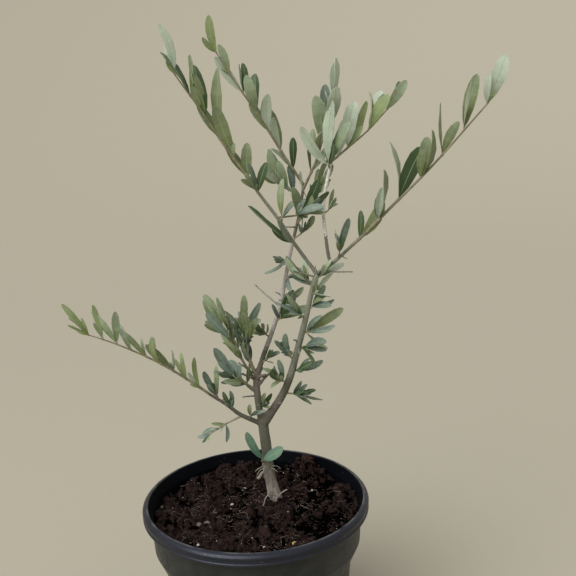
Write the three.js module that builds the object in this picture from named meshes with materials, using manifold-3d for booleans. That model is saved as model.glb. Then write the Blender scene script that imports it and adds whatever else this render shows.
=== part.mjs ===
// A young olive tree in a round black nursery pot.
// Millimetres, +Z up, +X to the right, +Y to the back.
// The origin is the centre of the pot's flat underside.
import * as THREE from 'three';
import { mergeVertices } from 'three/addons/utils/BufferGeometryUtils.js';
import Module from 'manifold-3d';

const wasm = await Module();
wasm.setup();

// ---------------------------------------------------------------- sizes

const GAP = 0.3;
const SHORTEST_EDGE = 0.02;

const POT = {
  height: 150,
  rimRadius: 95,
  rimWidth: 5,
  rimHeight: 10,
  rimRound: 1.5,
  collarRadius: 88.5,
  shoulderTop: 113,
  shoulderTopRadius: 87,
  shoulderFoot: 95,
  shoulderFootRadius: 79,
  baseRadius: 70,
  footBevel: 2,
  wall: 2,
  floor: 3,
  sides: 48,
};

const DRAIN = { count: 6, radius: 6, ring: 50, sides: 8 };

// `waves` has the length, the heading in degrees and the height of each wave of the soil's surface,
// and `heaps` has the place (right, back), the radius and the height of each heap or hollow in it.
const SOIL = {
  top: 134,
  rings: 9,
  flatRadius: 26,
  waves: [[46, 20, 1.5], [31, 75, 1.4], [25, 140, 1.2]],
  heaps: [[-26, 72, 28, 6], [46, 68, 18, 10], [78, 18, 24, 8], [37, 22, 11, 9], [-60, -26, 24, 2],
    [-18, 46, 13, -5]],
};

// Each limb starts on its host, `at` a share of the host's length, and ends `reach` further on
// (right, back, up). `bow` is how far its middle stands off the straight line, and a `skew` above 0
// moves that bulge towards its foot. `radius` is at its foot and at its tip.
const LIMBS = [
  { name: 'trunk', foot: [15.5, 19, SOIL.top + GAP], reach: [-7.5, 7, 72], bow: [-1.5, 2, 0],
    radius: [4.9, 4.3], flare: 1.5, wander: 0.5, seed: 1 },
  { name: 'bough_left_lower', host: 'trunk', at: 0.97, reach: [-3, 2, 44], bow: [-2.5, 0, 0],
    radius: [3.0, 2.7], wander: 0.4, seed: 2 },
  { name: 'bough_left_upper', host: 'bough_left_lower', at: 0.98, reach: [45, 14, 158],
    bow: [4.5, 0, 0], radius: [2.1, 1.0], wander: 1.2, seed: 3 },
  { name: 'bough_right', host: 'trunk', at: 0.97, reach: [50, -16, 134], bow: [7.8, 0, 0], skew: 1,
    radius: [3.6, 1.7], wander: 1.0, seed: 4 },
  { name: 'bough_upper_left', host: 'bough_right', at: 0.985, reach: [-49, -14, 77],
    radius: [1.45, 1.05], wander: 0.7, seed: 5 },
  { name: 'bough_upper_right', host: 'bough_right', at: 0.985, reach: [28, -8, 23],
    bow: [0, 0, -1.5], radius: [1.4, 1.15], wander: 0.3, seed: 6 },
  { name: 'bough_centre', host: 'bough_upper_right', at: 0.4, reach: [4, 24, 80], bow: [-6, -3, 0],
    radius: [0.95, 0.85], wander: 0.6, seed: 7 },
  { name: 'bough_low_left', host: 'trunk', at: 0.93, reach: [-43, -16, 36], bow: [0, 0, -1.5],
    radius: [2.1, 1.0], wander: 1.0, seed: 8 },
];

// Each spray is a leafy shoot. It grows from its host as a limb does and carries `leaves` in opposite
// pairs from `bare` of its length on, each pair a quarter turn round from the last. `turn` is the
// first pair's angle in degrees, where 0 spreads it left and right. `leaf` is a full leaf's length,
// from the spray's foot to its tip, and `lift` is how far the leaves turn up. `twigs` is how many
// side twigs branch from it.
const SPRAYS = [
  { name: 'spray_upper_left', host: 'bough_upper_left', at: 1, reach: [-51, -20, 82],
    radius: [0.95, 0.5], leaves: 12, bare: 0.03, leaf: [32, 42, 28], turn: 0, lift: 1.5, seed: 1 },
  { name: 'spray_top_left', host: 'bough_left_upper', at: 1, reach: [-65, -24, 107],
    radius: [0.95, 0.5], leaves: 14, bare: 0.12, leaf: [28, 30, 24], turn: 0, lift: 1.3, seed: 2 },
  { name: 'spray_top', host: 'bough_left_upper', at: 0.97, reach: [26, -12, 74], bow: [3, 0, 0],
    radius: [0.9, 0.5], leaves: 12, bare: 0.2, leaf: [32, 30, 26], turn: 20, lift: 1, seed: 3 },
  { name: 'spray_back_right', host: 'bough_centre', at: 1, reach: [64, 74, 48], bow: [0, 4, -3],
    radius: [0.8, 0.45], leaves: 14, bare: 0.08, leaf: [34, 34, 18], turn: 50, lift: 1.25,
    seed: 24 },
  { name: 'spray_right', host: 'bough_upper_right', at: 1, reach: [97, -39, 107], bow: [0, 0, -3],
    radius: [1.1, 0.5], leaves: 14, bare: 0.06, leaf: [30, 42, 40, 28], turn: 0, lift: 1.7,
    seed: 5 },
  { name: 'spray_low_left', host: 'bough_low_left', at: 1, reach: [-88, -35, 65], bow: [0, 0, 6],
    radius: [0.95, 0.45], leaves: 18, bare: 0.08, leaf: [22, 26, 24], turn: 0, lift: 1.4, seed: 6 },
  { name: 'spray_knot_left', host: 'bough_left_lower', at: 0.93, reach: [-9, -12, 46],
    bow: [-3, 0, 0], radius: [1.3, 0.8], leaves: 12, bare: 0.3, leaf: [20, 24, 26], turn: 30,
    lift: 0.9, twigs: 2, seed: 7 },
  { name: 'spray_knot_outer', host: 'bough_left_lower', at: 0.8, reach: [-21, -8, 50],
    bow: [-1, 0, 0], radius: [1.0, 0.7], leaves: 8, bare: 0.45, leaf: [22, 30], turn: 0, lift: 0.6,
    twigs: 1, seed: 8 },
  { name: 'spray_knot_low', host: 'bough_left_lower', at: 0.68, reach: [-19, -9, 16],
    bow: [0, 0, -1], radius: [0.9, 0.6], leaves: 8, bare: 0.45, leaf: [22, 22], turn: 0, lift: 0,
    seed: 9 },
  { name: 'spray_centre_left', host: 'bough_left_upper', at: 0.93, reach: [-19, -8, 14],
    radius: [0.8, 0.5], leaves: 8, bare: 0.4, leaf: [26, 24], turn: 60, lift: 1, seed: 10 },
  { name: 'spray_centre_low', host: 'bough_left_upper', at: 0.88, reach: [17, -6, 17],
    radius: [0.8, 0.5], leaves: 6, bare: 0.4, leaf: [22, 20], turn: 40, lift: 1, seed: 11 },
  { name: 'spray_foot_left', host: 'bough_low_left', at: 0.38, reach: [-28, -10, -12],
    bow: [0, 0, 1], radius: [0.8, 0.45], leaves: 6, bare: 0.5, leaf: [12, 13], turn: 20, lift: 0.1,
    seed: 12 },
  { name: 'spray_trunk_foot', host: 'trunk', at: 0.45, reach: [-4, -8, 7], bow: [-2, 0, 0],
    radius: [0.9, 0.6], leaves: 2, bare: 0.7, leaf: [26, 26], turn: 190, lift: 0.45, seed: 15 },
];

// Short side shoots, in order up each bough: host, place on it, reach, leaves, their length and lift.
const SPURS = sideShoots('spur', [
  ['bough_right', 0.2, [14, -7, 1], 8, 17, 0.1],
  ['bough_right', 0.27, [-6, -6, 5], 4, 17, 0.2],
  ['bough_right', 0.34, [7, -2, 4], 3, 20, 0],
  ['bough_right', 0.42, [-5, -3, 7], 4, 22, 0.2],
  ['bough_right', 0.5, [6, -3, 3], 3, 24, 0],
  ['bough_right', 0.6, [6, -2, 3], 4, 26, 0],
  ['bough_right', 0.7, [-5, -3, 4], 4, 22, 0.3],
  ['bough_right', 0.76, [6, -3, 4], 3, 25, 0.1],
  ['bough_right', 0.84, [5, -4, 5], 3, 22, 0.3],
  ['bough_right', 0.91, [-6, -2, 5], 4, 20, 0.3],
  ['bough_right', 0.955, [5, -4, 3], 3, 20, 0.3],
  ['bough_left_lower', 0.3, [4, -6, 4], 3, 14, 0.3],
  ['bough_left_upper', 0.06, [6, -5, 5], 4, 18, 0.3],
  ['bough_left_upper', 0.2, [-6, -4, 5], 3, 20, 0.3],
  ['bough_left_upper', 0.28, [5, -4, 5], 4, 22, 0.3],
  ['bough_left_upper', 0.38, [4, -4, 4], 3, 16, 0.3],
  ['bough_left_upper', 0.5, [5, -5, 4], 3, 18, -0.4],
  ['bough_left_upper', 0.6, [-4, -4, 2], 3, 18, -0.4],
  ['bough_left_upper', 0.72, [10, -4, 7], 4, 14, 0.9],
  ['bough_left_upper', 0.8, [3, -6, 4], 2, 30, 0.9],
  ['bough_upper_left', 0.3, [-3, -4, 4], 2, 36, 0.6],
  ['bough_upper_left', 0.56, [1, -5, 5], 1, 50, 1],
  ['bough_upper_left', 0.62, [25, 6, 1], 4, 22, 0.9],
  ['bough_upper_left', 0.85, [-3, -3, 5], 3, 24, 1],
  ['bough_upper_right', 0.62, [1, -5, 6], 2, 28, 0.9],
  ['bough_centre', 0.5, [4, -4, 3], 2, 18, 0.8],
  ['bough_centre', 0.93, [-1, -4, 4], 3, 42, 1.1],
  ['bough_low_left', 0.25, [1, -5, 6], 3, 14, 0.5],
  ['bough_low_left', 0.55, [-2, -4, 5], 4, 14, 0.6],
  ['bough_low_left', 0.85, [-1, -4, 6], 4, 20, 0.9],
]);

const BARE_TWIGS = sideShoots('twig', [
  ['bough_left_upper', 0.36, [-20, -4, 21]],
  ['bough_left_lower', 0.95, [-15, -9, 15]],
  ['bough_right', 0.965, [-18, -7, 7]],
  ['bough_upper_right', 0.1, [26, -6, 0]],
]);

// Names each row's shoot after its host and numbers it up the host. Each starts `turn` round from
// the one before.
function sideShoots(kind, rows) {
  return rows.map(([host, at, reach, leaves = 0, leaf = 0, lift = 0], n) => ({
    name: `${host.replace('bough', kind)}_${n + 1 - rows.findIndex((row) => row[0] === host)}`,
    host,
    at,
    reach,
    leaves,
    leaf: [leaf, leaf],
    lift,
    turn: 40 * n,
    seed: 40 + n,
    radius: [0.7, 0.5],
    bare: 0.6,
    wander: 0.2,
  }));
}

// How limbs and stems are drawn: the length of a step along them, how soon a foot's flare dies out,
// how often they sway, and the sides of a trunk, a bough and a stem.
const LIMB = { step: 13, flareFall: 9, sway: [9, 7], trunkSides: 12, sides: 8, stemSides: 3 };

// A side twig, as shares of its stem: where the first one leaves it and how long it is.
const TWIG = { from: 0.4, to: 0.85, length: 0.4, open: 38, spiral: 137.5, radius: [0.6, 0.4],
  leaves: 4, bare: 0.35 };

const LEAF = {
  rollSpread: 40, // degrees
  aside: [0, 30, -30, 60, -60, 90, -90], // degrees that a leaf turns round the shoot to stand clear
  end: 0.985, // share of the shoot
  shortest: 0.6, // share of its full length
  lengthSpread: 0.75,
  narrowest: 0.126, // half its width, share of its length
  widthSpread: 0.06,
  root: 0.35,
  foot: 0.06, // share of its length from which it has to stand clear of other sprays
  stalk: 0.3, // and of its own spray's leaves
  depth: 0.012, // share of its length
  leastDepth: 0.3,
  stations: [0, 0.38, 0.78, 1],
  shape: [0, 0.95, 0.85, 0],
  open: [25, 65], // degrees off the shoot
  tipOpen: [12, 32], // and the same for the last pair
  twist: 110,
  stemShare: 0.4, // how far the upper face leans along the shoot
  droop: 0.2,
  level: 0.3, // the share of leaves that bend up
};

// The way the blades turn their upper faces: up and to the front.
const LIGHT = new THREE.Vector3(0.1, -0.8, 0.6).normalize();
const UP = new THREE.Vector3(0, 0, 1);
const BACK = new THREE.Vector3(0.05, 1, 0.1).normalize();
const LEVEL = { side: new THREE.Vector3(1, 0, 0), back: new THREE.Vector3(0, 1, 0) };

const COLOURS = {
  pot: [0x24272b, 0.55],
  soil: [0x2b1d17, 1],
  bark: [0x877a68, 0.9],
  leaf: [0x66794f, 0.6],
};

// ---------------------------------------------------------------- curves and chance

// Repeatable draws between 0 and 1.
function dice(seed) {
  const modulus = 2147483647;
  let state = seed * 7919 + 17;
  return () => {
    state = (state * 48271) % modulus;
    return state / modulus;
  };
}

class LimbCurve extends THREE.Curve {
  constructor(start, spec) {
    super();
    this.start = start;
    this.reach = new THREE.Vector3(...spec.reach);
    this.bow = new THREE.Vector3(...(spec.bow ?? [0, 0, 0]));
    this.skew = spec.skew ?? 0;
    this.wander = spec.wander ?? 0.6;
    this.phase = 1.7 * spec.seed;
  }

  getPoint(t) {
    const bulge = 4 * t * (1 - t) * (1 + this.skew * (1 - 2 * t));
    const sway = this.wander * Math.sin(Math.PI * t);
    const [often, seldom] = LIMB.sway;
    return this.start.clone()
      .addScaledVector(this.reach, t)
      .addScaledVector(this.bow, bulge)
      .add(new THREE.Vector3(
        sway * Math.sin(this.phase + often * t),
        sway * Math.sin(this.phase * 2 + seldom * t),
        0,
      ));
  }

  // The curve's direction, and the two directions across it: to the right and to the back.
  frame(t) {
    const step = 0.005;
    const along = this.getPoint(t + step).sub(this.getPoint(t - step)).normalize();
    const side = BACK.clone().cross(along).normalize();
    return { along, side, back: along.clone().cross(side) };
  }

  // The direction that leaves the curve at `open`, `roll` round it.
  outward(t, open, roll) {
    const { along, side, back } = this.frame(t);
    const out = side.multiplyScalar(Math.cos(roll)).addScaledVector(back, Math.sin(roll));
    return along.multiplyScalar(Math.cos(open)).addScaledVector(out, Math.sin(open));
  }
}

// ---------------------------------------------------------------- solids

function solidOf(geometry) {
  const bare = geometry.clone();
  bare.deleteAttribute('normal');
  bare.deleteAttribute('uv');
  const merged = mergeVertices(bare, 1e-4);
  return new wasm.Manifold(new wasm.Mesh({
    numProp: 3,
    vertProperties: merged.attributes.position.array,
    triVerts: new Uint32Array(merged.index.array),
  }));
}

function geometryOf(solid) {
  const mesh = largest(solid.simplify(SHORTEST_EDGE)).getMesh();
  return new THREE.BufferGeometry()
    .setAttribute('position', new THREE.BufferAttribute(mesh.vertProperties, 3))
    .setIndex(new THREE.BufferAttribute(mesh.triVerts, 1));
}

// The largest of the separate pieces that a cut leaves.
function largest(solid) {
  return solid.decompose().reduce((a, b) => (a.volume() > b.volume() ? a : b));
}

function boxesMeet(a, b) {
  const p = a.boundingBox();
  const q = b.boundingBox();
  return [0, 1, 2].every((i) => p.min[i] <= q.max[i] && q.min[i] <= p.max[i]);
}

function touches(a, b) {
  return boxesMeet(a, b) && a.intersect(b).volume() > 0;
}

// Moves each point of an upright shape to its place round an axis: `place` gets the point's share of
// the height and its two coordinates across.
function bend(geometry, place) {
  const points = geometry.getAttribute('position');
  for (let i = 0; i < points.count; i++) {
    const share = points.getY(i) + 0.5;
    points.setXYZ(i, ...place(share, points.getX(i), points.getZ(i)));
  }
  return geometry;
}

// A tapering limb of `sides`, made `grow` thicker and longer all round for cutting its neighbours.
function limbSolid(curve, spec, sides, grow = 0) {
  const length = curve.reach.length();
  const steps = Math.max(2, Math.round(length / LIMB.step));
  const [foot, tip] = spec.radius;
  const flare = spec.flare ?? 0;
  return solidOf(bend(new THREE.CylinderGeometry(1, 1, 1, sides, steps), (share, x, z) => {
    const t = share + (share === 0 ? -grow : share === 1 ? grow : 0) / length;
    const radius = foot + (tip - foot) * share + flare * Math.exp(-LIMB.flareFall * share) + grow;
    const { side, back } = spec.foot && share === 0 ? LEVEL : curve.frame(share);
    return curve.getPoint(t).addScaledVector(side, x * radius).addScaledVector(back, -z * radius);
  }));
}

// A leaf is a three-sided cone, flattened and bent. `from` leaves out its foot, and `grow` thickens it.
function leafSolid(leaf, from = 0, grow = 0) {
  const last = LEAF.stations.length - 1;
  const shape = new THREE.ConeGeometry(1, 1, 3, last, false, Math.PI);
  const across = leaf.way.clone().cross(leaf.face);
  return solidOf(bend(shape, (share, x, z) => {
    const k = Math.round(share * last);
    const s = from + (1 - from) * LEAF.stations[k];
    const ring = k === last ? 0 : 1 / (1 - share);
    const wide = LEAF.root * (1 - s) + leaf.width * LEAF.shape[k] + grow;
    const deep = (k === 0 ? LEAF.root : leaf.depth) + grow;
    return leaf.root.clone()
      .addScaledVector(leaf.way, leaf.length * s)
      .addScaledVector(leaf.face, z * ring * deep - leaf.droop * s * s)
      .addScaledVector(across, x * ring * wide);
  }));
}

// ---------------------------------------------------------------- growth rule

// The value at `share` along a row of values that are evenly spaced.
function valueAlong(row, share) {
  const place = share * (row.length - 1);
  const n = Math.min(Math.floor(place), row.length - 2);
  return THREE.MathUtils.lerp(row[n], row[n + 1], place - n);
}

// Where one leaf stands: `open` is its angle off the shoot, `roll` its angle round it.
function leafAt(curve, t, length, open, roll, lift, chance) {
  const way = curve.outward(t, open, roll).addScaledVector(UP, lift).normalize();
  const face = LIGHT.clone().addScaledVector(curve.frame(t).along, LEAF.stemShare);
  face.addScaledVector(way, -face.dot(way)).normalize();
  face.applyAxisAngle(way, THREE.MathUtils.degToRad(LEAF.twist * (chance.twist - 0.5)));
  const full = length * (LEAF.shortest + LEAF.lengthSpread * chance.length);
  return {
    root: curve.getPoint(t),
    way,
    face,
    length: full,
    width: full * (LEAF.narrowest + LEAF.widthSpread * chance.width),
    depth: Math.max(LEAF.leastDepth, full * LEAF.depth),
    droop: full * LEAF.droop * (chance.droop - LEAF.level),
  };
}

// The leaves of one shoot, from its foot to its tip. Each is a list of places: the first one, and
// the places that it turns aside to.
function leavesOf({ curve, spec }, draw) {
  const nodes = Math.ceil(spec.leaves / 2);
  return Array.from({ length: spec.leaves }, (_, n) => {
    const node = Math.floor(n / 2);
    const share = nodes === 1 ? 1 : node / (nodes - 1);
    const chance = {
      open: draw(), roll: draw(), length: draw(), width: draw(), twist: draw(), droop: draw(),
    };
    const [least, most] = node === nodes - 1 && nodes > 1 ? LEAF.tipOpen : LEAF.open;
    const roll = spec.turn + 90 * node + 180 * (n % 2) + LEAF.rollSpread * (chance.roll - 0.5);
    return LEAF.aside.map((aside) => leafAt(
      curve,
      spec.bare + (LEAF.end - spec.bare) * share,
      valueAlong(spec.leaf, share),
      THREE.MathUtils.degToRad(THREE.MathUtils.lerp(least, most, chance.open)),
      THREE.MathUtils.degToRad(roll + aside),
      spec.lift,
      chance,
    ));
  });
}

// The side twigs that branch from a spray's stem, spiralling up it.
function twigsOf(curve, spec, draw) {
  const count = spec.twigs ?? 0;
  return Array.from({ length: count }, (_, n) => {
    const at = THREE.MathUtils.lerp(TWIG.from, TWIG.to, (n + draw()) / count);
    const roll = THREE.MathUtils.degToRad(spec.turn + TWIG.spiral * (n + 1));
    const reach = curve.outward(at, THREE.MathUtils.degToRad(TWIG.open), roll)
      .multiplyScalar(curve.reach.length() * TWIG.length);
    const twig = { ...TWIG, reach, leaf: spec.leaf.slice(-2), lift: spec.lift, wander: 0,
      turn: spec.turn + 90 * n, seed: spec.seed };
    return { spec: twig, curve: new LimbCurve(curve.getPoint(at), twig) };
  });
}

// ---------------------------------------------------------------- pot and soil

// The pot's outer line from the rim's foot down to the underside, set in by `inset`.
function bodyLine(inset) {
  return [
    [POT.collarRadius - inset, POT.height - POT.rimHeight],
    [POT.shoulderTopRadius - inset, POT.shoulderTop],
    [POT.shoulderFootRadius - inset, POT.shoulderFoot],
    [POT.baseRadius - inset, POT.footBevel],
  ];
}

function lathe(line) {
  return new THREE.LatheGeometry(line.map(([r, z]) => new THREE.Vector2(r, z)), POT.sides)
    .rotateX(Math.PI / 2);
}

function potSolid() {
  const innerRim = POT.rimRadius - POT.rimWidth;
  const outside = [
    [0, 0],
    [POT.baseRadius - POT.footBevel, 0],
    ...bodyLine(0).reverse(),
    [POT.rimRadius - POT.rimRound, POT.height - POT.rimHeight],
    [POT.rimRadius, POT.height - POT.rimHeight + POT.rimRound],
    [POT.rimRadius, POT.height - POT.rimRound],
    [POT.rimRadius - POT.rimRound, POT.height],
  ];
  const inside = [
    [innerRim, POT.height],
    ...bodyLine(POT.wall).slice(0, 3),
    [POT.baseRadius - POT.wall, POT.floor],
    [0, POT.floor],
  ];
  let pot = solidOf(lathe([...outside, ...inside]));
  for (let n = 0; n < DRAIN.count; n++) {
    const angle = (2 * Math.PI * n) / DRAIN.count;
    const hole = new THREE.CylinderGeometry(DRAIN.radius, DRAIN.radius, 4 * POT.floor, DRAIN.sides)
      .rotateX(Math.PI / 2)
      .translate(DRAIN.ring * Math.cos(angle), DRAIN.ring * Math.sin(angle), 0);
    pot = pot.subtract(solidOf(hole));
  }
  return pot;
}

// How far the soil stands over its mean level: waves and heaps that die out round the trunk's foot.
function soilBump(x, y) {
  const [footX, footY] = LIMBS[0].foot;
  const away = Math.hypot(x - footX, y - footY);
  const free = THREE.MathUtils.smoothstep(away, SOIL.flatRadius / 2, SOIL.flatRadius);
  const waves = SOIL.waves.reduce((sum, [length, heading, height]) => {
    const angle = THREE.MathUtils.degToRad(heading);
    const way = x * Math.cos(angle) + y * Math.sin(angle);
    return sum + height * Math.sin((2 * Math.PI * way) / length);
  }, 0);
  const heaps = SOIL.heaps.reduce((sum, [heapX, heapY, radius, height]) => (
    sum + height * Math.exp(-((x - heapX) ** 2 + (y - heapY) ** 2) / radius ** 2)
  ), 0);
  return free * (waves + heaps);
}

function soilSolid() {
  const inset = POT.wall + GAP;
  const [collar, top, foot] = bodyLine(inset);
  const wallAt = (z) => THREE.MathUtils.mapLinear(z, top[1], collar[1], top[0], collar[0]);
  const edge = wallAt(SOIL.top);
  const line = [[0, POT.floor + GAP], [POT.baseRadius - inset, POT.floor + GAP], foot, top];
  for (let n = 0; n <= SOIL.rings; n++) line.push([edge * (1 - n / SOIL.rings), SOIL.top]);
  const geometry = lathe(line);
  const points = geometry.getAttribute('position');
  for (let i = 0; i < points.count; i++) {
    const [x, y, z] = [points.getX(i), points.getY(i), points.getZ(i)];
    if (z < SOIL.top - 1) continue;
    const level = z + soilBump(x, y);
    const spread = wallAt(level) / edge;
    points.setXYZ(i, x * spread, y * spread, level);
  }
  return solidOf(geometry);
}

// ---------------------------------------------------------------- assembly

const tree = new THREE.Group();

function addNode(name, solid, colour) {
  const [color, roughness] = COLOURS[colour];
  const material = new THREE.MeshStandardMaterial({ color, roughness, metalness: 0 });
  const mesh = new THREE.Mesh(geometryOf(solid), material);
  mesh.name = name;
  tree.add(mesh);
}

addNode('pot', potSolid(), 'pot');
addNode('soil', soilSolid(), 'soil');

const curves = {};
const limbs = [];

function curveOf(spec) {
  const start = spec.foot ? new THREE.Vector3(...spec.foot) : curves[spec.host].getPoint(spec.at);
  curves[spec.name] = new LimbCurve(start, spec);
  return curves[spec.name];
}

// Cuts a solid back from its neighbours and keeps the largest piece.
function cutClear(solid, neighbours) {
  const near = neighbours.filter((other) => boxesMeet(other, solid));
  return near.length ? largest(near.reduce((left, other) => left.subtract(other), solid)) : solid;
}

for (const spec of LIMBS) {
  const curve = curveOf(spec);
  const sides = spec.foot ? LIMB.trunkSides : LIMB.sides;
  addNode(spec.name, cutClear(limbSolid(curve, spec, sides), limbs), 'bark');
  limbs.push(limbSolid(curve, spec, sides, GAP));
}

// The stems of all sprays come first, so that no leaf or twig grows through another spray's stem.
const sprays = [...SPRAYS, ...SPURS, ...BARE_TWIGS].map((spec) => {
  const curve = curveOf(spec);
  return {
    spec,
    curve,
    draw: dice(spec.seed),
    shoots: [{ spec, curve }],
    stem: limbSolid(curve, spec, LIMB.stemSides),
    guard: limbSolid(curve, spec, LIMB.stemSides, GAP),
  };
});

for (const spray of sprays) {
  const others = sprays.filter((other) => other !== spray).map((other) => other.guard);
  for (const twig of twigsOf(spray.curve, spray.spec, spray.draw)) {
    const wood = limbSolid(twig.curve, twig.spec, LIMB.stemSides);
    if ([...limbs, ...others].some((other) => touches(other, wood))) continue;
    spray.shoots.push(twig);
    spray.stem = spray.stem.add(wood);
    spray.guard = spray.guard.add(limbSolid(twig.curve, twig.spec, LIMB.stemSides, GAP));
  }
}

const grown = [];
for (const spray of sprays) {
  const guards = sprays.filter((other) => other !== spray).map((other) => other.guard);
  const neighbours = [...limbs, ...grown, ...guards];
  const blades = [];
  const standsClear = (leaf) => !neighbours.some((other) => touches(other, leafSolid(leaf, LEAF.foot, GAP)))
    && !blades.some((other) => touches(other, leafSolid(leaf, LEAF.stalk)));
  let solid = spray.stem;
  for (const places of spray.shoots.flatMap((shoot) => leavesOf(shoot, spray.draw))) {
    const leaf = places.find(standsClear);
    if (!leaf) continue;
    solid = solid.add(leafSolid(leaf));
    blades.push(leafSolid(leaf, LEAF.stalk));
  }
  solid = cutClear(solid, neighbours);
  addNode(spray.spec.name, solid, spray.spec.leaves ? 'leaf' : 'bark');
  grown.push(solid);
}

export default tree;
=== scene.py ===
"""A young potted olive tree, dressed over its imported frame.

The limbs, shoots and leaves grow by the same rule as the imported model's solids. Lengths in the
tables are millimetres, angles are degrees, and every finished piece is in metres.
"""

import math
import random

import bmesh
import bpy
from bpy.props import FloatProperty, FloatVectorProperty, IntProperty, PointerProperty
from mathutils import Matrix, Quaternion, Vector, kdtree, noise


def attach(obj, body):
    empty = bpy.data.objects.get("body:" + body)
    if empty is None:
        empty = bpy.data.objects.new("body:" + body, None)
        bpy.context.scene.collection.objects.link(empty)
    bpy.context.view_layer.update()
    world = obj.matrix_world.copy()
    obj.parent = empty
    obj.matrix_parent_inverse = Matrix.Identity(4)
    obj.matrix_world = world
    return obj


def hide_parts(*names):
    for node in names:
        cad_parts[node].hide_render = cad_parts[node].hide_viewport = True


bl_info = {
    "name": "Potted olive tree",
    "version": (1, 0, 0),
    "blender": (4, 5, 0),
    "location": "View3D > Sidebar > Olive tree",
    "description": "Grows a young olive tree in a nursery pot over its packed frame",
    "category": "Add Mesh",
}

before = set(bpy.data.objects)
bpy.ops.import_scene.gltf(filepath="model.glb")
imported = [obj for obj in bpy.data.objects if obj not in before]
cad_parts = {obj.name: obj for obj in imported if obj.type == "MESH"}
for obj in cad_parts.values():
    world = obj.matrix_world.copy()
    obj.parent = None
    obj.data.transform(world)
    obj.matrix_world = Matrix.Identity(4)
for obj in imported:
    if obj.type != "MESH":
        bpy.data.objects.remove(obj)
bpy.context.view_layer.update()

MM = 0.001

# ---------------------------------------------------------------- sizes

# `rim_outline` runs from the rim's foot to its inner edge: how far in from its radius, and how far up.
POT = {
    "height": 150,
    "rim_radius": 95,
    "rim_width": 5,
    "rim_height": 10,
    "rim_outline": [(1.2, 0), (0.2, 0.7), (0.2, 1.8), (0.9, 2.5), (0.9, 5), (0, 6), (0.3, 7.2),
                    (1.6, 8.8), (3.2, 9.68), (4.4, 10), (5, 9.2)],
    "collar_radius": 88.5,
    "shoulder_top": 113,
    "shoulder_top_radius": 87,
    "shoulder_foot": 95,
    "shoulder_foot_radius": 79,
    "base_radius": 70,
    "foot_bevel": 2,
    "wall": 2,
    "floor": 3,
    "bevel": 0.3,
    "crease": 14,
    "sides": 128,
}
RIM_FOOT = POT["height"] - POT["rim_height"]

DRAIN = {"count": 6, "radius": 6, "ring": 50, "sides": 24}

# The floor's outline in steps of an angle, and how far it lies under the pot.
FLOOR = {"step": 7, "steps": 10, "under": 0.5, "sides": 64}

# How far bark's colours are stretched along the limbs, and where those of the trunk's foot begin to
# end and end. `deep_ends` is the same for the foot's deeper relief. `furrow` is how far the relief's
# coarse part is stretched, and `coarse` and `fine` have the size and the depth of its parts. A limb
# is cut into `steps` to tell which bark is where, and `ragged` has the depth and the size of the rags
# at a bark's edge.
BARK = {
    "stretch": 0.35,
    "foot_ends": (145.7, 171.4),
    "deep_ends": (134, 190),
    "furrow": 0.3,
    "coarse": (1.6, 0.6),
    "fine": (0.8, 0.5),
    "steps": 60,
    "ragged": (7, 1.3),
}

# `waves` has the length, the heading and the height of each wave of the compost's surface, and
# `heaps` the place, the radius and the height of each heap or hollow, as in the imported model. `lumps`
# has the size and the height of the rounded clods laid over them: above `crest` they are dry and red,
# and below `hollow` they take a nearly black peat that is painted shade. `pits` has the place, the
# radius and the depth of each hollow between the clods, sunk in and painted dark as shade. `collar`
# is how far the compost covers the trunk's foot.
SOIL = {
    "top": 134,
    "flat_radius": 26,
    "waves": [(46, 20, 1.5), (31, 75, 1.4), (25, 140, 1.2)],
    "heaps": [(-26, 72, 28, 6), (46, 68, 18, 10), (78, 18, 24, 8), (37, 22, 11, 9),
              (-60, -26, 24, 2), (-18, 46, 13, -5)],
    "lumps": [(17, 3.6), (7.5, 3.4), (3.4, 2)],
    "pits": [(-25, 44, 10, 3), (34, 6, 11, 3), (44, -24, 13, 2), (60, 44, 22, 1.6),
             (-64, 10, 12, 1.6), (26, 46, 9, 2.4)],
    "collar": 2.2,
    "cells": 210,
    "gap": 0.3,
    "crest": 0.8,
    "hollow": -0.9,
}

# `swell` is how much thicker a limb's bark makes it than its solid.
LIMBS = [
    dict(name="trunk", foot=(15.5, 19, 134.3), reach=(-7.5, 7, 72), bow=(-1.5, 2, 0),
         radius=(4.9, 4.3), flare=1.5, wander=0.5, seed=1),
    dict(name="bough_left_lower", host="trunk", at=0.97, reach=(-3, 2, 44), bow=(-2.5, 0, 0),
         radius=(3.0, 2.7), wander=0.4, seed=2),
    dict(name="bough_left_upper", host="bough_left_lower", at=0.98, reach=(45, 14, 158),
         bow=(4.5, 0, 0), radius=(2.1, 1.0), wander=1.2, seed=3),
    dict(name="bough_right", host="trunk", at=0.97, reach=(50, -16, 134), bow=(7.8, 0, 0), skew=1,
         radius=(3.6, 1.7), wander=1.0, seed=4),
    dict(name="bough_upper_left", host="bough_right", at=0.985, reach=(-49, -14, 77),
         radius=(1.45, 1.05), wander=0.7, seed=5),
    dict(name="bough_upper_right", host="bough_right", at=0.985, reach=(28, -8, 23),
         bow=(0, 0, -1.5), radius=(1.4, 1.15), wander=0.3, seed=6),
    dict(name="bough_centre", host="bough_upper_right", at=0.4, reach=(4, 24, 80), bow=(-6, -3, 0),
         radius=(0.95, 0.85), swell=0.35, wander=0.6, seed=7),
    dict(name="bough_low_left", host="trunk", at=0.93, reach=(-43, -16, 36), bow=(0, 0, -1.5),
         radius=(2.1, 1.0), wander=1.0, seed=8),
]

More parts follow.
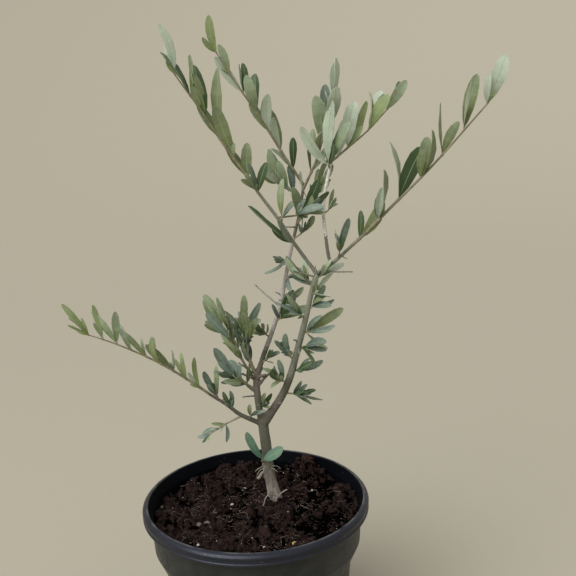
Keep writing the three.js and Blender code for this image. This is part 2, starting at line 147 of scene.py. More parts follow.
# `tint` names the mix of leaf colours that a shoot carries, and `end` the colour of its last pair.
# `slim` is how narrow its leaves are.
SPRAYS = [
    dict(name="spray_upper_left", host="bough_upper_left", at=1, reach=(-51, -20, 82),
         radius=(0.95, 0.5), leaves=12, bare=0.03, leaf=(32, 42, 28), turn=0, lift=1.5, seed=1,
         tint="sunlit", end="silver"),
    dict(name="spray_top_left", host="bough_left_upper", at=1, reach=(-65, -24, 107),
         radius=(0.95, 0.5), leaves=14, bare=0.12, leaf=(28, 30, 24), turn=0, lift=1.3, seed=2,
         tint="cool", end="young"),
    dict(name="spray_top", host="bough_left_upper", at=0.97, reach=(26, -12, 74), bow=(3, 0, 0),
         radius=(0.9, 0.5), leaves=12, bare=0.2, leaf=(32, 30, 26), turn=20, lift=1, seed=3,
         tint="cool", end="silver"),
    dict(name="spray_back_right", host="bough_centre", at=1, reach=(64, 74, 48), bow=(0, 4, -3),
         radius=(0.8, 0.45), leaves=14, bare=0.08, leaf=(34, 34, 18), turn=50, lift=1.25, seed=24,
         tint="fresh", end="dark"),
    dict(name="spray_right", host="bough_upper_right", at=1, reach=(97, -39, 107), bow=(0, 0, -3),
         radius=(1.1, 0.5), leaves=14, bare=0.06, leaf=(30, 42, 40, 28), turn=0, lift=1.7, seed=5,
         tint="sunlit", end="silver"),
    dict(name="spray_low_left", host="bough_low_left", at=1, reach=(-88, -35, 65), bow=(0, 0, 6),
         radius=(0.95, 0.45), leaves=18, bare=0.08, leaf=(22, 26, 24), turn=0, lift=1.4, seed=6,
         slim=0.64, tint="fresh", end="young"),
    dict(name="spray_knot_left", host="bough_left_lower", at=0.93, reach=(-9, -12, 46),
         bow=(-3, 0, 0), radius=(1.3, 0.8), leaves=12, bare=0.3, leaf=(20, 24, 26), turn=30,
         lift=0.9, twigs=2, seed=7, slim=0.72, tint="shade", end="olive"),
    dict(name="spray_knot_outer", host="bough_left_lower", at=0.8, reach=(-21, -8, 50),
         bow=(-1, 0, 0), radius=(1.0, 0.7), leaves=8, bare=0.45, leaf=(22, 30), turn=0, lift=0.6,
         twigs=1, seed=8, slim=0.7, tint="shade", end="olive"),
    dict(name="spray_knot_low", host="bough_left_lower", at=0.68, reach=(-19, -9, 16),
         bow=(0, 0, -1), radius=(0.9, 0.6), leaves=8, bare=0.45, leaf=(22, 22), turn=0, lift=0,
         seed=9, tint="shade", end="blue"),
    dict(name="spray_centre_left", host="bough_left_upper", at=0.93, reach=(-19, -8, 14),
         radius=(0.8, 0.5), leaves=8, bare=0.4, leaf=(26, 24), turn=60, lift=1, seed=10,
         tint="cool", end="grey"),
    dict(name="spray_centre_low", host="bough_left_upper", at=0.88, reach=(17, -6, 17),
         radius=(0.8, 0.5), leaves=6, bare=0.4, leaf=(22, 20), turn=40, lift=1, seed=11,
         tint="cool", end="olive"),
    dict(name="spray_foot_left", host="bough_low_left", at=0.38, reach=(-28, -10, -12),
         bow=(0, 0, 1), radius=(0.8, 0.45), leaves=6, bare=0.5, leaf=(12, 13), turn=20, lift=0.1,
         seed=12, tint="cool", end="blue"),
    dict(name="spray_trunk_foot", host="trunk", at=0.45, reach=(-4, -8, 7), bow=(-2, 0, 0),
         radius=(0.9, 0.6), leaves=2, bare=0.7, leaf=(26, 26), turn=190, lift=0.45, seed=15,
         tint="shade", end="teal"),
]

# Short side shoots, in order up each bough: host, place on it, reach, leaves, their length and lift.
SPURS = [
    ("bough_right", 0.2, (14, -7, 1), 8, 17, 0.1),
    ("bough_right", 0.27, (-6, -6, 5), 4, 17, 0.2),
    ("bough_right", 0.34, (7, -2, 4), 3, 20, 0),
    ("bough_right", 0.42, (-5, -3, 7), 4, 22, 0.2),
    ("bough_right", 0.5, (6, -3, 3), 3, 24, 0),
    ("bough_right", 0.6, (6, -2, 3), 4, 26, 0),
    ("bough_right", 0.7, (-5, -3, 4), 4, 22, 0.3),
    ("bough_right", 0.76, (6, -3, 4), 3, 25, 0.1),
    ("bough_right", 0.84, (5, -4, 5), 3, 22, 0.3),
    ("bough_right", 0.91, (-6, -2, 5), 4, 20, 0.3),
    ("bough_right", 0.955, (5, -4, 3), 3, 20, 0.3),
    ("bough_left_lower", 0.3, (4, -6, 4), 3, 14, 0.3),
    ("bough_left_upper", 0.06, (6, -5, 5), 4, 18, 0.3),
    ("bough_left_upper", 0.2, (-6, -4, 5), 3, 20, 0.3),
    ("bough_left_upper", 0.28, (5, -4, 5), 4, 22, 0.3),
    ("bough_left_upper", 0.38, (4, -4, 4), 3, 16, 0.3),
    ("bough_left_upper", 0.5, (5, -5, 4), 3, 18, -0.4),
    ("bough_left_upper", 0.6, (-4, -4, 2), 3, 18, -0.4),
    ("bough_left_upper", 0.72, (10, -4, 7), 4, 14, 0.9),
    ("bough_left_upper", 0.8, (3, -6, 4), 2, 30, 0.9),
    ("bough_upper_left", 0.3, (-3, -4, 4), 2, 36, 0.6),
    ("bough_upper_left", 0.56, (1, -5, 5), 1, 50, 1),
    ("bough_upper_left", 0.62, (25, 6, 1), 4, 22, 0.9),
    ("bough_upper_left", 0.85, (-3, -3, 5), 3, 24, 1),
    ("bough_upper_right", 0.62, (1, -5, 6), 2, 28, 0.9),
    ("bough_centre", 0.5, (4, -4, 3), 2, 18, 0.8),
    ("bough_centre", 0.93, (-1, -4, 4), 3, 42, 1.1),
    ("bough_low_left", 0.25, (1, -5, 6), 3, 14, 0.5),
    ("bough_low_left", 0.55, (-2, -4, 5), 4, 14, 0.6),
    ("bough_low_left", 0.85, (-1, -4, 6), 4, 20, 0.9),
]

BARE_TWIGS = [
    ("bough_left_upper", 0.36, (-20, -4, 21), 0, 0, 0),
    ("bough_left_lower", 0.95, (-15, -9, 15), 0, 0, 0),
    ("bough_right", 0.965, (-18, -7, 7), 0, 0, 0),
    ("bough_upper_right", 0.1, (26, -6, 0), 0, 0, 0),
]

SIDE_SHOOT = dict(radius=(0.7, 0.5), bare=0.6, wander=0.2)

TWIG = dict(radius=(0.6, 0.4), leaves=4, bare=0.35, wander=0, open=38, spiral=137.5, share=0.4,
            first=0.4, last=0.85)

SWAY = (9, 7)
FLARE_FALL = 9

# How much thinner the limbs get as they are fused and smoothed.
FUSE_LOSS = 0.13

LEAF = {
    "roll_spread": 40,
    "aside": (0, 30, -30, 60, -60, 90, -90),
    "end": 0.985,
    "shortest": 0.6,
    "length_spread": 0.75,
    "narrowest": 0.126,
    "width_spread": 0.06,
    "slim": 0.9,
    "open": (25, 65),
    "tip_open": (12, 32),
    "twist": 110,
    "stem_share": 0.4,
    "droop": 0.2,
    "level": 0.3,
}

# A blade's own form. `shades` is how many colours its upper face has from its middle to its tip, in
# steps of a painted sheen.
# `stalk` and `stalk_end` are shares of its length, and `still` the place that it twists round. `base`
# and `tip` shape its outline. `rib`, `fold`, `curl` and `wave` are shares of its half width, and `bow`
# and `sickle` of its length.
BLADE = {
    "strips": 3,
    "steps": 7,
    "shades": 4,
    "crease": 50,
    "rib": 0.05,
    "rib_depth": 0.12,
    "tip_width": 0.12,
    "still": 0.3,
    "stalk": 0.05,
    "stalk_end": 0.12,
    "stalk_width": 0.55,
    "base": 0.75,
    "tip": 0.52,
    "fold": 0.34,
    "curl": 0.36,
    "wave": 0.1,
    "bow": 0.09,
    "sickle": 0.08,
    "turn": 30,
}

# The small leaves in the axils of a shoot's leaves. `chance` is how many leaves have them, on old wood
# and on long shoots. `length` is a share of the leaf beside them.
AXIL = {"chance": (0.7, 0.12), "each": 2, "length": (0.35, 0.75), "spread": 0.9, "tip_length": 0.3,
        "width": (0.1, 0.15)}

LIGHT = Vector((0.1, -0.8, 0.6)).normalized()
UP = Vector((0, 0, 1))
BACK = Vector((0.05, 1, 0.1)).normalized()

# How many leaves of each colour a tint holds, out of ten. The shade mix is painted shade: darker leaves
# for the shoots inside the crown.
TINTS = {
    # The highlit leaves are painted highlights: leaves drawn pale where the light glints on them.
    "sunlit": {"olive": 6, "grey": 1, "dark": 2, "silver": 1},
    "cool": {"grey": 4, "olive": 2, "blue": 1, "dark": 1, "silver": 2},
    "fresh": {"olive": 2, "grey": 4, "young": 2, "blue": 1, "silver": 1},
    "shade": {"blue": 4, "dark": 3, "olive": 3},
}

# How much painted sheen lies on the tip of a leaf of each colour: a pale colour that stands for the
# light the tips catch from the sky.
SHEEN = {"olive": 0.3, "grey": 0.5, "blue": 0.22, "teal": 0.2, "dark": 0.05, "young": 0.2,
         "silver": 0.6}

CAMERA = {"place": (33.8, -615, 465.1), "pitch": 12.61, "roll": 2.2, "lens": 49.44}

# ---------------------------------------------------------------- curves and chance


def dice(seed):
    """Repeatable draws between 0 and 1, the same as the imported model's."""
    modulus = 2147483647
    state = seed * 7919 + 17
    while True:
        state = state * 48271 % modulus
        yield state / modulus


def between(low, high, share):
    """The value at a share of the way from low to high."""
    return low + (high - low) * share


def value_along(row, share):
    """The value at a share along a row of evenly spaced values."""
    place = share * (len(row) - 1)
    n = min(int(place), len(row) - 2)
    return between(row[n], row[n + 1], place - n)


def smoothstep(low, high, value):
    """0 below low, 1 above high, and a smooth rise in between."""
    share = min(max((value - low) / (high - low), 0), 1)
    return share * share * (3 - 2 * share)


class LimbCurve:
    """The centre line of a limb or a shoot."""

    def __init__(self, start, spec):
        self.start = Vector(start)
        self.reach = Vector(spec["reach"])
        self.bow = Vector(spec.get("bow", (0, 0, 0)))
        self.skew = spec.get("skew", 0)
        self.wander = spec.get("wander", 0.6)
        self.phase = 1.7 * spec["seed"]

    def point(self, t):
        """The point at a share of the length."""
        bulge = 4 * t * (1 - t) * (1 + self.skew * (1 - 2 * t))
        sway = self.wander * math.sin(math.pi * t)
        often, seldom = SWAY
        aside = Vector((math.sin(self.phase + often * t), math.sin(2 * self.phase + seldom * t), 0))
        return self.start + self.reach * t + self.bow * bulge + aside * sway

    def frame(self, t):
        """The direction, and the two directions across it: to the right and to the back."""
        step = 0.005
        along = (self.point(t + step) - self.point(t - step)).normalized()
        side = BACK.cross(along).normalized()
        return along, side, along.cross(side)

    def outward(self, t, opening, roll):
        """The direction that leaves the curve at an angle, rolled round it."""
        along, side, back = self.frame(t)
        out = side * math.cos(roll) + back * math.sin(roll)
        return along * math.cos(opening) + out * math.sin(opening)


# ---------------------------------------------------------------- growth rule


class NodeShape:
    """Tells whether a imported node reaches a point."""

    def __init__(self, name):
        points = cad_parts[name].data.vertices
        self.tree = kdtree.KDTree(len(points))
        for n, point in enumerate(points):
            self.tree.insert(point.co / MM, n)
        self.tree.balance()

    def reaches(self, point, within):
        """True if the node has a corner that close to the point."""
        return self.tree.find(point)[2] < within


def leaf_at(curve, t, length, opening, roll, lift, slim, chance):
    """Where one leaf stands, and its size."""
    way = (curve.outward(t, opening, roll) + UP * lift).normalized()
    face = LIGHT + curve.frame(t)[0] * LEAF["stem_share"]
    face = (face - way * face.dot(way)).normalized()
    face.rotate(Quaternion(way, math.radians(LEAF["twist"] * (chance["twist"] - 0.5))))
    full = length * (LEAF["shortest"] + LEAF["length_spread"] * chance["length"])
    return {
        "root": curve.point(t),
        "way": way,
        "face": face,
        "length": full,
        "width": full * slim * (LEAF["narrowest"] + LEAF["width_spread"] * chance["width"]),
        "droop": full * LEAF["droop"] * (chance["droop"] - LEAF["level"]),
        "share": t,
    }


def tip_of(leaf):
    """The point that a leaf ends in."""
    return leaf["root"] + leaf["way"] * leaf["length"] - leaf["face"] * leaf["droop"]


def leaves_of(curve, spec, draw, shape):
    """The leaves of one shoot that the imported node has, each turned aside as it is there."""
    count = spec["leaves"]
    nodes = math.ceil(count / 2)
    leaves = []
    for n in range(count):
        node = n // 2
        share = 1 if nodes == 1 else node / (nodes - 1)
        chance = {k: next(draw) for k in ("open", "roll", "length", "width", "twist", "droop")}
        least, most = LEAF["tip_open"] if node == nodes - 1 and nodes > 1 else LEAF["open"]
        roll = spec["turn"] + 90 * node + 180 * (n % 2) + LEAF["roll_spread"] * (chance["roll"] - 0.5)
        for aside in LEAF["aside"]:
            leaf = leaf_at(
                curve,
                between(spec["bare"], LEAF["end"], share),
                value_along(spec["leaf"], share),
                math.radians(between(least, most, chance["open"])),
                math.radians(roll + aside),
                spec["lift"],
                spec.get("slim", LEAF["slim"]),
                chance,
            )
            if shape.reaches(tip_of(leaf), 0.3):
                leaves.append(leaf)
                break
    return leaves


def twigs_of(curve, spec, draw, shape):
    """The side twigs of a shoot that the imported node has, with their specs."""
    count = spec.get("twigs", 0)
    twigs = []
    for n in range(count):
        at = between(TWIG["first"], TWIG["last"], (n + next(draw)) / count)
        roll = math.radians(spec["turn"] + TWIG["spiral"] * (n + 1))
        way = curve.outward(at, math.radians(TWIG["open"]), roll)
        twig = {
            **TWIG,
            "reach": way * curve.reach.length * TWIG["share"],
            "leaf": spec["leaf"][-2:],
            "lift": spec["lift"],
            "turn": spec["turn"] + 90 * n,
            "seed": spec["seed"],
        }
        side = LimbCurve(curve.point(at), twig)
        if shape.reaches(side.point(1), 1.2):
            twigs.append((side, twig))
    return twigs


def side_shoots(kind, rows):
    """Named specs from rows of host, place, reach, leaves, their length and lift."""
    hosts = [row[0] for row in rows]
    return [
        {
            **SIDE_SHOOT,
            "name": f"{host.replace('bough', kind)}_{n + 1 - hosts.index(host)}",
            "host": host,
            "at": at,
            "reach": reach,
            "leaves": leaves,
            "leaf": (length, length),
            "lift": lift,
            "turn": 40 * n,
            "seed": 40 + n,
            "slim": 0.78,
            "tint": "shade" if "left" in host or at < 0.8 else "cool",
            "end": "",
        }
        for n, (host, at, reach, leaves, length, lift) in enumerate(rows)
    ]


def small_leaf(leaf, curve, length, spread, chance):
    """A small leaf from the same place on the shoot as another, turned aside from it."""
    along = curve.frame(leaf["share"])[0]
    aside = Vector([chance.uniform(-1, 1) for _ in range(3)])
    way = (leaf["way"] + along * 0.6 + UP * 0.2 + aside * spread).normalized()
    face = LIGHT + aside.yzx * 0.6
    face = (face - way * face.dot(way)).normalized()
    full = leaf["length"] * length
    return {
        **leaf,
        "way": way,
        "face": face,
        "length": full,
        "width": full * chance.uniform(*AXIL["width"]),
        "droop": full * chance.uniform(-0.1, 0.15),
        "small": True,
    }


def small_leaves(curve, leaves, on_old_wood, chance):
    """The small leaves in the axils along one shoot, and the young pair at its tip."""
    share = AXIL["chance"][0 if on_old_wood else 1]
    small = [
        small_leaf(leaf, curve, chance.uniform(*AXIL["length"]), AXIL["spread"], chance)
        for leaf in leaves
        for _ in range(AXIL["each"])
        if chance.random() < share
    ]
    for leaf in [] if on_old_wood else leaves[-2:]:
        way = (curve.frame(1)[0] + leaf["way"] * 0.25).normalized()
        tip = {**leaf, "root": curve.point(0.99), "way": way, "share": 0.99}
        small.append(small_leaf(tip, curve, AXIL["tip_length"], 0.1, chance))
    return small


def grow():
    """All limbs, bare twigs, leafy shoots and leaves of the tree."""
    curves = {}
    chance = random.Random(3)

    def curve_of(spec):
        start = spec["foot"] if "foot" in spec else curves[spec["host"]].point(spec["at"])
        curves[spec["name"]] = LimbCurve(start, spec)
        return curves[spec["name"]]

    limbs = [(curve_of(spec), spec) for spec in LIMBS]
    shoots = []
    leaves = []
    for spec in [*SPRAYS, *side_shoots("spur", SPURS)]:
        curve = curve_of(spec)
        draw = dice(spec["seed"])
        shape = NodeShape(spec["name"])
        own = [(curve, spec), *twigs_of(curve, spec, draw, shape)]
        shoots += own
        on_old_wood = spec not in SPRAYS or Vector(spec["reach"]).length < 60
        for each, each_spec in own:
            blades = leaves_of(each, each_spec, draw, shape)
            blades += small_leaves(each, blades, on_old_wood, chance)
            leaves += [{**leaf, "tint": spec["tint"], "end": spec["end"]} for leaf in blades]
    twigs = [(curve_of(spec), spec) for spec in side_shoots("twig", BARE_TWIGS)]
    return {"limbs": limbs, "twigs": twigs, "shoots": shoots, "leaves": leaves}


# ---------------------------------------------------------------- mesh helpers


def unit_tube(sides, steps):
    """An upright cylinder of radius 1 from height 0 to 1, cut into steps, made once."""
    name = f"tube {sides} {steps}"
    if name not in bpy.data.meshes:
        bm = bmesh.new()
        bmesh.ops.create_cone(bm, cap_ends=True, segments=sides, radius1=1, radius2=1, depth=1)
        uprights = [e for e in bm.edges if abs(e.verts[0].co.z - e.verts[1].co.z) > 0.5]
        bmesh.ops.subdivide_edges(bm, edges=uprights, cuts=steps - 1)
        bmesh.ops.translate(bm, vec=(0, 0, 0.5), verts=bm.verts)
        bm.to_mesh(bpy.data.meshes.new(name))
        bm.free()
    return bpy.data.meshes[name]


def tube(bm, curve, radius_at, sides, steps):
    """Adds a closed limb: a unit tube bent along a curve."""
    first = len(bm.verts)
    bm.from_mesh(unit_tube(sides, steps))
    bm.verts.ensure_lookup_table()
    rings = {}
    for v in bm.verts[first:]:
        rings.setdefault(round(v.co.z * steps), []).append(v)
    for n, ring in rings.items():
        t = n / steps
        centre = curve.point(t)
        _, side, back = curve.frame(t)
        for v in ring:
            radius = radius_at(t, math.atan2(v.co.y, v.co.x))
            v.co = centre + (side * v.co.x - back * v.co.y) * radius


def steps_for(curve, length):
    """How many steps of about that length a curve takes."""
    return max(3, round(curve.reach.length / length))


def tapering(spec):
    """The radius along a limb, with the flare and the collar of its foot."""
    foot, tip = spec["radius"]
    flare = spec.get("flare", 0)
    collar = 0 if flare else 0.35 * foot
    length = Vector(spec["reach"]).length
    extra = FUSE_LOSS + spec.get("swell", 0)

    def radius(t, angle):
        flutes = 1 + 0.5 * math.sin(3 * angle + 1)
        neck = collar * math.exp(-((t * length / (2 * foot)) ** 2))
        return between(foot, tip, t) + flare * flutes * math.exp(-FLARE_FALL * t) + neck + extra

    return radius


def mesh_of(bm, name):
    """A mesh in metres from a bmesh in millimetres, with its faces pointing out."""
    bmesh.ops.scale(bm, vec=(MM, MM, MM), verts=bm.verts)
    bmesh.ops.recalc_face_normals(bm, faces=bm.faces)
    mesh = bpy.data.meshes.new(name)
    bm.to_mesh(mesh)
    bm.free()
    return mesh


def add_piece(name, mesh, materials, replaces=()):
    """Adds a finished piece to the scene: smooth, riding on the plant's body."""
    piece = bpy.data.objects.new(name, mesh)
    bpy.context.scene.collection.objects.link(piece)
    for material in materials:
        mesh.materials.append(material)
    mesh.shade_smooth()
    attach(piece, "root")
    if replaces:
        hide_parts(*replaces)
    return piece


def applied(mesh, add_modifiers):
    """A mesh with modifiers applied: `add_modifiers` puts them on a passing object."""
    holder = bpy.data.objects.new("holder", mesh)
    bpy.context.scene.collection.objects.link(holder)
    add_modifiers(holder)
    graph = bpy.context.evaluated_depsgraph_get()
    made = bpy.data.meshes.new_from_object(holder.evaluated_get(graph))
    bpy.data.objects.remove(holder)
    bpy.data.meshes.remove(mesh)
    return made


# ---------------------------------------------------------------- shader groups


def add_node(tree, kind, values, **properties):
    """Adds a shader node, and gives each of its inputs its value or the output that feeds it."""
    node = tree.nodes.new(f"ShaderNode{kind}")
    for name, value in properties.items():
        setattr(node, name, value)
    for name, value in values.items():
        if isinstance(value, bpy.types.NodeSocket):
            tree.links.new(value, node.inputs[name])
        else:
            node.inputs[name].default_value = value
    return node


def blended(tree, mask, first, second):
    """The colour between two, by a mask."""
    values = {"Factor": mask, "A": first, "B": second}
    return add_node(tree, "Mix", values, data_type="RGBA").outputs["Result"]


def new_group(name, inputs, outputs):
    """An empty shader group, the sockets that feed it and its output node's inputs.

    An input without a value is a vector, one with several values a colour, and any other a number.
    """
    tree = bpy.data.node_groups.new(name, "ShaderNodeTree")
    for label, value in inputs.items():
        kind = "Vector" if value is None else "Color" if isinstance(value, tuple) else "Float"
        socket = tree.interface.new_socket(label, in_out="INPUT", socket_type=f"NodeSocket{kind}")
        if value is not None:
            socket.default_value = value
    for label, kind in outputs.items():
        tree.interface.new_socket(label, in_out="OUTPUT", socket_type=f"NodeSocket{kind}")
    return tree, tree.nodes.new("NodeGroupInput").outputs, tree.nodes.new("NodeGroupOutput").inputs


def noise_between(tree, vector, scale, detail, low, high):
    """A noise's value, spread from 0 at a low level to 1 at a high one."""
    values = {"Vector": vector, "Scale": scale, "Detail": detail}
    value = add_node(tree, "TexNoise", values).outputs["Fac"]
    return add_node(tree, "MapRange", {"Value": value, "From Min": low, "From Max": high}).outputs[0]


def mottle_group():
    """Two colours in soft patches, and a third in fine flecks."""
    tree, given, outlet = new_group(
        "Mottle",
        {
            "Vector": None,
            "Main": (0.2, 0.2, 0.2, 1),
            "Patch": (0.1, 0.1, 0.1, 1),
            "Fleck": (0.4, 0.4, 0.4, 1),
            "Patch Scale": 90,
            "Fleck Scale": 900,
            "Fleck Level": 0.62,
        },
        {"Color": "Color"},
    )
    level = given["Fleck Level"]
    top = add_node(tree, "Math", {0: level, 1: 0.08}, operation="ADD").outputs[0]
    patches = noise_between(tree, given["Vector"], given["Patch Scale"], 4, 0.4, 0.62)
    flecks = noise_between(tree, given["Vector"], given["Fleck Scale"], 3, level, top)
    base = blended(tree, patches, given["Main"], given["Patch"])
    tree.links.new(blended(tree, flecks, base, given["Fleck"]), outlet["Color"])
    return tree


def grain_group():
    """A fine uneven surface: a normal, and a value to vary the roughness."""
    tree, given, outlet = new_group(
        "Grain",
        {
            "Vector": None,
            "Scale": 600,
            "Strength": 0.3,
            "Distance": 0.0004,
            "Smooth": 0.4,
            "Rough": 0.6,
        },
        {"Normal": "Vector", "Roughness": "Float"},
    )
    values = {"Vector": given["Vector"], "Scale": given["Scale"], "Detail": 5}
    grain = add_node(tree, "TexNoise", values).outputs["Fac"]
    values = {"Height": grain, "Strength": given["Strength"], "Distance": given["Distance"]}
    tree.links.new(add_node(tree, "Bump", values).outputs["Normal"], outlet["Normal"])
    values = {
        "Value": grain,
        "From Min": 0.35,
        "From Max": 0.65,
        "To Min": given["Smooth"],
        "To Max": given["Rough"],
    }
    tree.links.new(add_node(tree, "MapRange", values).outputs[0], outlet["Roughness"])
    return tree


def band_group():
    """A broken level band at a height of the object."""
    tree, given, outlet = new_group(
        "Band", {"Vector": None, "Height": 0.1, "Width": 0.002, "Scale": 300}, {"Mask": "Float"}
    )
    level = add_node(tree, "SeparateXYZ", {"Vector": given["Vector"]}).outputs["Z"]
    away = add_node(tree, "Math", {0: level, 1: given["Height"]}, operation="SUBTRACT").outputs[0]
    size = add_node(tree, "Math", {0: away}, operation="ABSOLUTE").outputs[0]
    values = {"Value": size, "From Max": given["Width"], "To Min": 1, "To Max": 0}
    near = add_node(tree, "MapRange", values).outputs[0]
    broken = noise_between(tree, given["Vector"], given["Scale"], 4, 0.42, 0.62)
    both = add_node(tree, "Math", {0: near, 1: broken}, operation="MULTIPLY").outputs[0]
    tree.links.new(both, outlet["Mask"])
    return tree


GROUP_MAKERS = {"Mottle": mottle_group, "Grain": grain_group, "Band": band_group}


class Surface:
    """A material in the making: its nodes, its shader's inputs and its stretched coordinates."""

    def __init__(self, name, stretch=(1, 1, 1), **values):
        self.material = bpy.data.materials.new(name)
        self.material.use_nodes = True
        self.tree = self.material.node_tree
        self.shader = self.tree.nodes["Principled BSDF"].inputs
        for label, value in values.items():
            self.shader[label.replace("_", " ")].default_value = value
        where = self.tree.nodes.new("ShaderNodeTexCoord").outputs["Object"]
        values = {"Vector": where, "Scale": stretch}
        self.vector = add_node(self.tree, "Mapping", values).outputs["Vector"]

    def group(self, name, values):
        """The outputs of a shared group, made the first time, with its values set."""
        node = self.tree.nodes.new("ShaderNodeGroup")
        node.node_tree = bpy.data.node_groups.get(name) or GROUP_MAKERS[name]()
        self.tree.links.new(self.vector, node.inputs["Vector"])
        for label, value in values.items():
            socket = node.inputs[label.replace("_", " ").title()]
            socket.default_value = (*value, 1) if socket.type == "RGBA" else value
        return node.outputs

    def mottled(self, **values):
        """Gives the shader the mottle's colour."""
        colour = self.group("Mottle", values)["Color"]
        self.tree.links.new(colour, self.shader["Base Color"])
        return colour

    def grained(self, **values):
        """Gives the shader the grain's normal and roughness."""
        grain = self.group("Grain", values)
        for name in ("Normal", "Roughness"):
            self.tree.links.new(grain[name], self.shader[name])

    def banded_dust_and_highlight(self, colour, height, width):
        """Lays a broken pale band over the shader's colour: dust on the pot's body, painted highlight
        lines on its rim.
        """
        mask = self.group("Band", {"height": height, "width": width, "scale": 75})["Mask"]
        below = self.shader["Base Color"].links[0].from_socket
        covered = blended(self.tree, mask, below, (*colour, 1))
        self.tree.links.new(covered, self.shader["Base Color"])


def shaded(colour, share):
    """A colour made lighter or darker by a share."""
    return tuple(channel * share for channel in colour)


def bark_material(name, settings, main, patch):
    """Thin grey-brown bark, pale and rough at the trunk's foot and smoother and greener above."""
    bark = Surface(name, (1, 1, BARK["stretch"]))
    foot = settings.foot_bark
    low = bark.mottled(
        main=foot, patch=shaded(foot, 0.4), fleck=shaded(foot, 1.6),
        patch_scale=260, fleck_scale=1500, fleck_level=0.58,
    )
    high = bark.mottled(
        main=main, patch=patch, fleck=shaded(main, 1.6),
        patch_scale=70, fleck_scale=1300, fleck_level=0.6,
    )
    height = add_node(bark.tree, "SeparateXYZ", {"Vector": bark.vector}).outputs["Z"]
    least, most = (BARK["stretch"] * level * MM for level in BARK["foot_ends"])
    values = {"Value": height, "From Min": least, "From Max": most}
    above = add_node(bark.tree, "MapRange", values).outputs[0]
    bark.tree.links.new(blended(bark.tree, above, low, high), bark.shader["Base Color"])
    bark.grained(scale=1100, strength=0.7, distance=0.0005, smooth=0.7, rough=0.95)
    return bark.material


def shoot_material(settings):
    """Green wood with a dry, pale skin."""
    skin = Surface("green wood")
    skin.mottled(
        main=settings.shoot, patch=shaded(settings.shoot, 0.62), fleck=shaded(settings.shoot, 1.5),
        patch_scale=120, fleck_scale=1600, fleck_level=0.6,
    )
    skin.grained(scale=1500, strength=0.4, distance=0.0002, smooth=0.55, rough=0.8)
    return skin.material


def blade_material(name, colour, smooth, rough):
    """A leathery leaf face: its colour a little uneven from leaf to leaf, with a scurfy grain."""
    face = Surface(name, Specular_IOR_Level=0.55, Sheen_Weight=0.12, Sheen_Roughness=0.4)
    face.mottled(
        main=colour, patch=shaded(colour, 0.78), fleck=shaded(colour, 1.22),
        patch_scale=55, fleck_scale=1700, fleck_level=0.56,
    )
    face.grained(scale=1400, strength=0.3, distance=0.0002, smooth=smooth, rough=rough)
    return face.material


def pot_surface(name, settings, main, smooth, rough, gloss, tint=(1, 1, 1)):
    """Moulded plastic, dusty in patches and with pale worn flecks."""
    plastic = Surface(name, Specular_IOR_Level=gloss, Specular_Tint=(*tint, 1))
    plastic.mottled(
        main=main, patch=shaded(main, 1.5), fleck=settings.scuff_and_highlight,
        patch_scale=26, fleck_scale=420, fleck_level=0.7,
    )
    plastic.grained(scale=500, strength=0.12, distance=0.0003, smooth=smooth, rough=rough)
    return plastic


def pot_materials(settings):
    """The dusty plastic of the body; the rim's worn plastic, bluer as a painted sheen, with painted
    highlight lines at its top and its foot; and the inside, darker as painted shade.
    """
    body = pot_surface("pot body", settings, settings.plastic, 0.36, 0.58, 0.36)
    body.banded_dust_and_highlight(settings.dust, 0.12, 0.03)
    # The rim's bluer plastic is a painted sheen.
    rim = pot_surface("pot rim", settings, settings.rim, 0.28, 0.48, 0.42, (0.8, 0.83, 0.97))
    # Painted highlights: pale lines along the rim's top edge and along its foot.
    rim.banded_dust_and_highlight(settings.scuff_and_highlight, POT["height"] * MM, 0.0006)
    rim.banded_dust_and_highlight(settings.scuff_and_highlight, RIM_FOOT * MM, 0.0009)
    # The inside's darker plastic is painted shade.
    inside = pot_surface("pot inside", settings, settings.inside, 0.5, 0.75, 0.07)
    return [surface.material for surface in (body, rim, inside)]


def compost_material(name, main, patch, fleck, gloss=0.1):
    """Damp peat: near black, with red-brown patches and paler grit."""
    peat = Surface(name, Specular_IOR_Level=gloss)
    peat.mottled(
        main=main, patch=patch, fleck=fleck, patch_scale=160, fleck_scale=1400, fleck_level=0.66
    )
    peat.grained(scale=1500, strength=1, distance=0.001, smooth=0.75, rough=1)
    return peat.material


def plain_grain_material(name, colour):
    """A small dry thing's colour, darker in patches."""
    dry = Surface(name)
    dry.mottled(
        main=colour, patch=shaded(colour, 0.6), fleck=shaded(colour, 1.3),
        patch_scale=300, fleck_scale=2000, fleck_level=0.6,
    )
    dry.grained(scale=1500, strength=0.5, distance=0.0003, smooth=0.6, rough=0.9)
    return dry.material


# ---------------------------------------------------------------- settings


def colour_property(name, description, default):
    """A colour that a user may change."""
    return FloatVectorProperty(
        name=name, description=description, subtype="COLOR", size=3, min=0, max=1, default=default
    )


